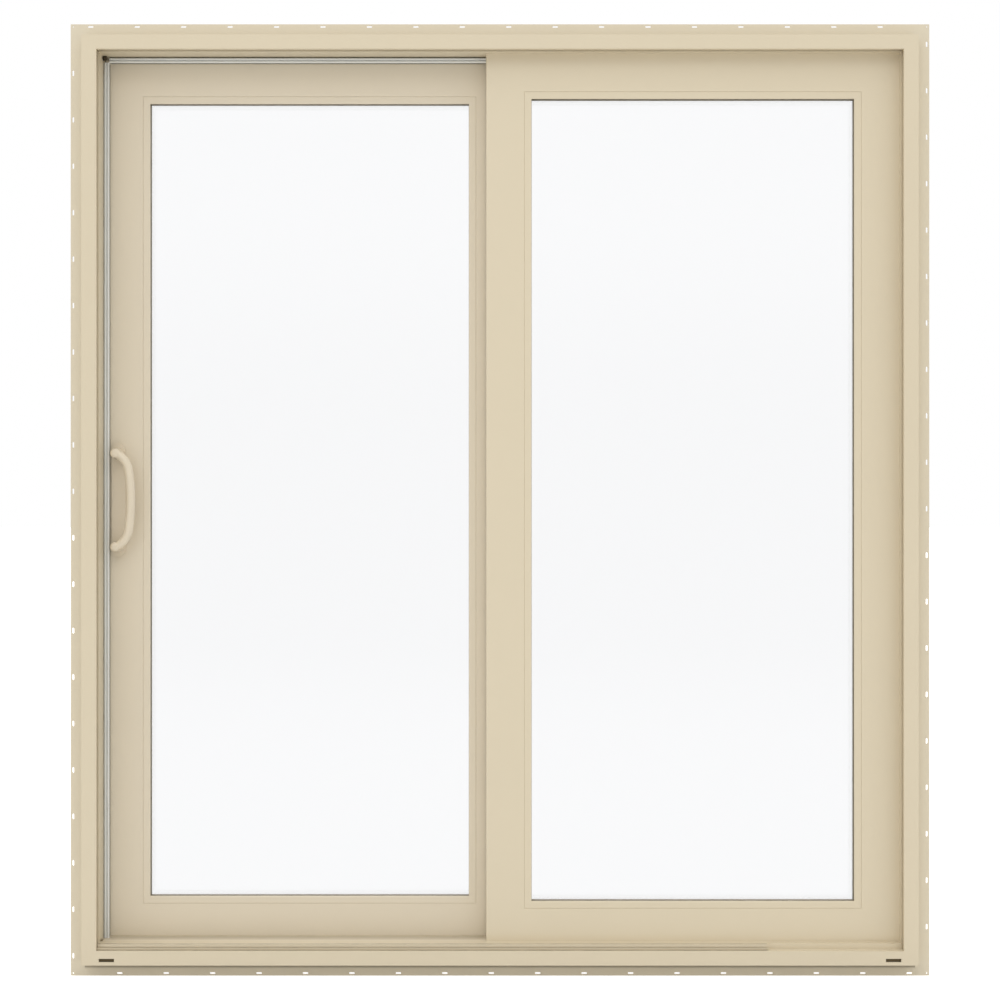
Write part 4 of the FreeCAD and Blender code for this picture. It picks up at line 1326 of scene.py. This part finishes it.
def floor_material():
    """White floor that keeps a soft shadow, shows plain white in and through the glass, and has painted
    light in a strip under the door.
    """
    material = bpy.data.materials.new("white_floor")
    material.use_nodes = True
    tree = material.node_tree
    tree.nodes.remove(tree.nodes["Principled BSDF"])
    out = tree.nodes["Material Output"]
    coordinates = add_node(tree, "ShaderNodeTexCoord")
    away = add_node(tree, "ShaderNodeSeparateXYZ")
    mottle = add_node(tree, "ShaderNodeTexNoise", {"Scale": 2.0, "Detail": 3.0})
    pale = add_node(
        tree, "ShaderNodeMapRange", {"To Min": 0.77, "To Max": 0.81}
    )
    near = add_node(
        tree, "ShaderNodeMapRange",
        {"From Min": -9.0, "From Max": -2.2, "To Min": 0.5, "To Max": 1.0},
        interpolation_type="SMOOTHSTEP",
    )
    paint = add_node(tree, "ShaderNodeBsdfDiffuse")
    lift = add_node(tree, "ShaderNodeEmission")
    lifted = add_node(tree, "ShaderNodeAddShader")
    reach = add_node(tree, "ShaderNodeVectorMath", operation="LENGTH")
    far_level = add_node(
        tree, "ShaderNodeMapRange",
        {"From Min": 3.0, "From Max": 7.0, "To Min": 0.0, "To Max": 1.0},
        interpolation_type="SMOOTHSTEP",
    )
    # Painted light: in a strip under the door the floor is lifted to full white for the camera, hiding
    # the door's shadow there.
    from_door = add_node(tree, "ShaderNodeMath", {1: 0.03}, operation="SUBTRACT")
    either_way = add_node(tree, "ShaderNodeMath", operation="ABSOLUTE")
    painted_light_under_door = add_node(
        tree, "ShaderNodeMapRange",
        {"From Min": 0.035, "From Max": 0.08, "To Min": 1.0, "To Max": 0.0},
        interpolation_type="SMOOTHSTEP",
    )
    behind = add_node(
        tree, "ShaderNodeMapRange", {"From Min": 0.07, "From Max": 0.12},
        interpolation_type="SMOOTHSTEP",
    )
    sideways = add_node(tree, "ShaderNodeMath", operation="ABSOLUTE")
    in_width = add_node(
        tree, "ShaderNodeMapRange",
        {"From Min": 0.82, "From Max": 0.98, "To Min": 1.0, "To Max": 0.0},
        interpolation_type="SMOOTHSTEP",
    )
    hidden = add_node(tree, "ShaderNodeMath", operation="MULTIPLY")
    near_level = add_node(tree, "ShaderNodeMapRange", {"To Min": 0.55, "To Max": 0.06})
    ground_level = add_node(tree, "ShaderNodeMath", operation="MAXIMUM")
    lift_level = add_node(tree, "ShaderNodeMath", operation="MAXIMUM")
    mirrored = add_node(tree, "ShaderNodeEmission")
    through = add_node(tree, "ShaderNodeEmission", {"Strength": 1.0})
    for_camera = add_node(tree, "ShaderNodeMixShader")
    for_mirror = add_node(tree, "ShaderNodeMixShader")
    for_glass = add_node(tree, "ShaderNodeMixShader")
    chain(
        tree,
        coordinates.outputs["Object"], away.inputs["Vector"],
        coordinates.outputs["Object"], mottle.inputs["Vector"],
        mottle.outputs["Fac"], pale.inputs["Value"],
        pale.outputs["Result"], paint.inputs["Color"],
        away.outputs["Y"], near.inputs["Value"],
        near.outputs["Result"], mirrored.inputs["Strength"],
        coordinates.outputs["Object"], reach.inputs[0],
        reach.outputs["Value"], far_level.inputs["Value"],
        away.outputs["Y"], from_door.inputs[0],
        from_door.outputs["Value"], either_way.inputs[0],
        either_way.outputs["Value"], painted_light_under_door.inputs["Value"],
        away.outputs["Y"], behind.inputs["Value"],
        away.outputs["X"], sideways.inputs[0],
        sideways.outputs["Value"], in_width.inputs["Value"],
        behind.outputs["Result"], hidden.inputs[0],
        in_width.outputs["Result"], hidden.inputs[1],
        hidden.outputs["Value"], near_level.inputs["Value"],
        near_level.outputs["Result"], ground_level.inputs[0],
        painted_light_under_door.outputs["Result"], ground_level.inputs[1],
        far_level.outputs["Result"], lift_level.inputs[0],
        ground_level.outputs["Value"], lift_level.inputs[1],
        lift_level.outputs["Value"], lift.inputs["Strength"],
        paint.outputs["BSDF"], lifted.inputs[0],
        lift.outputs["Emission"], lifted.inputs[1],
        seen_directly(tree, "Camera"), for_camera.inputs["Fac"],
        paint.outputs["BSDF"], for_camera.inputs[1],
        lifted.outputs["Shader"], for_camera.inputs[2],
        seen_directly(tree, "Glossy"), for_mirror.inputs["Fac"],
        for_camera.outputs["Shader"], for_mirror.inputs[1],
        mirrored.outputs["Emission"], for_mirror.inputs[2],
        seen_directly(tree, "Transmission"), for_glass.inputs["Fac"],
        for_mirror.outputs["Shader"], for_glass.inputs[1],
        through.outputs["Emission"], for_glass.inputs[2],
        for_glass.outputs["Shader"], out.inputs["Surface"],
    )
    return material


def studio_world(settings):
    """White to the camera and through glass, and a soft dome that is brighter above."""
    world = bpy.data.worlds.new("studio")
    world.use_nodes = True
    tree = world.node_tree
    out = tree.nodes["World Output"]
    tree.nodes.remove(tree.nodes["Background"])
    coordinates = add_node(tree, "ShaderNodeTexCoord")
    parts = add_node(tree, "ShaderNodeSeparateXYZ")
    dome_level = add_node(
        tree, "ShaderNodeMapRange",
        {
            "From Min": -0.6, "From Max": 0.9,
            "To Min": settings.dome_bottom, "To Max": settings.dome_top,
        },
    )
    steepness = add_node(tree, "ShaderNodeMath", operation="ABSOLUTE")
    mirror_level = add_node(
        tree, "ShaderNodeMapRange",
        {"From Min": 0.05, "From Max": 0.17, "To Min": 0.5, "To Max": 1.0},
        interpolation_type="SMOOTHSTEP",
    )
    dome = add_node(tree, "ShaderNodeBackground")
    mirrored = add_node(tree, "ShaderNodeBackground")
    white = add_node(tree, "ShaderNodeBackground", {"Color": (1, 1, 1, 1), "Strength": 1.0})
    for name in (dome, mirrored):
        name.inputs["Color"].default_value = (1.0, 1.0, 1.0, 1.0)
    for_mirror = add_node(tree, "ShaderNodeMixShader")
    for_view = add_node(tree, "ShaderNodeMixShader")
    chain(
        tree,
        coordinates.outputs["Generated"], parts.inputs["Vector"],
        parts.outputs["Z"], dome_level.inputs["Value"],
        dome_level.outputs["Result"], dome.inputs["Strength"],
        parts.outputs["Z"], steepness.inputs[0],
        steepness.outputs["Value"], mirror_level.inputs["Value"],
        mirror_level.outputs["Result"], mirrored.inputs["Strength"],
        seen_directly(tree, "Glossy"), for_mirror.inputs["Fac"],
        dome.outputs["Background"], for_mirror.inputs[1],
        mirrored.outputs["Background"], for_mirror.inputs[2],
        seen_directly(tree, "Camera", "Transmission"), for_view.inputs["Fac"],
        for_mirror.outputs["Shader"], for_view.inputs[1],
        white.outputs["Background"], for_view.inputs[2],
        for_view.outputs["Shader"], out.inputs["Surface"],
    )
    return world


class DOOR_PT_panel(bpy.types.Panel):
    """Settings and steps of the patio door's looks"""

    bl_idname = "DOOR_PT_panel"
    bl_label = "Patio Door"
    bl_space_type = "VIEW_3D"
    bl_region_type = "UI"
    bl_category = "Patio Door"

    def draw(self, context):
        layout = self.layout
        for operator in OPERATORS:
            layout.operator(operator.bl_idname)
        for settings in door(context):
            box = layout.box()
            for name in settings.bl_rna.properties.keys():
                if name not in {"rna_type", "name"}:
                    box.prop(settings, name)


OPERATORS = (
    DOOR_OT_finishes, DOOR_OT_gaskets, DOOR_OT_weeps, DOOR_OT_corner_pads, DOOR_OT_seal_fins,
    DOOR_OT_sill_wiper, DOOR_OT_groove_shade_liners, DOOR_OT_plugs, DOOR_OT_screws, DOOR_OT_pile, DOOR_OT_stage,
)
SETTINGS = {"door_finish": DoorFinish, "door_detail": DoorDetail, "door_stage": DoorStage}
CLASSES = (*SETTINGS.values(), *OPERATORS, DOOR_PT_panel)


def register():
    for item in CLASSES:
        bpy.utils.register_class(item)
    for name, group in SETTINGS.items():
        setattr(bpy.types.Scene, name, bpy.props.PointerProperty(type=group))


def unregister():
    for name in SETTINGS:
        delattr(bpy.types.Scene, name)
    for item in reversed(CLASSES):
        bpy.utils.unregister_class(item)


def main():
    """Dresses the door."""
    register()
    for operator in OPERATORS:
        group, name = operator.bl_idname.split(".")
        getattr(getattr(bpy.ops, group), name)()


if __name__ == "__main__":
    main()
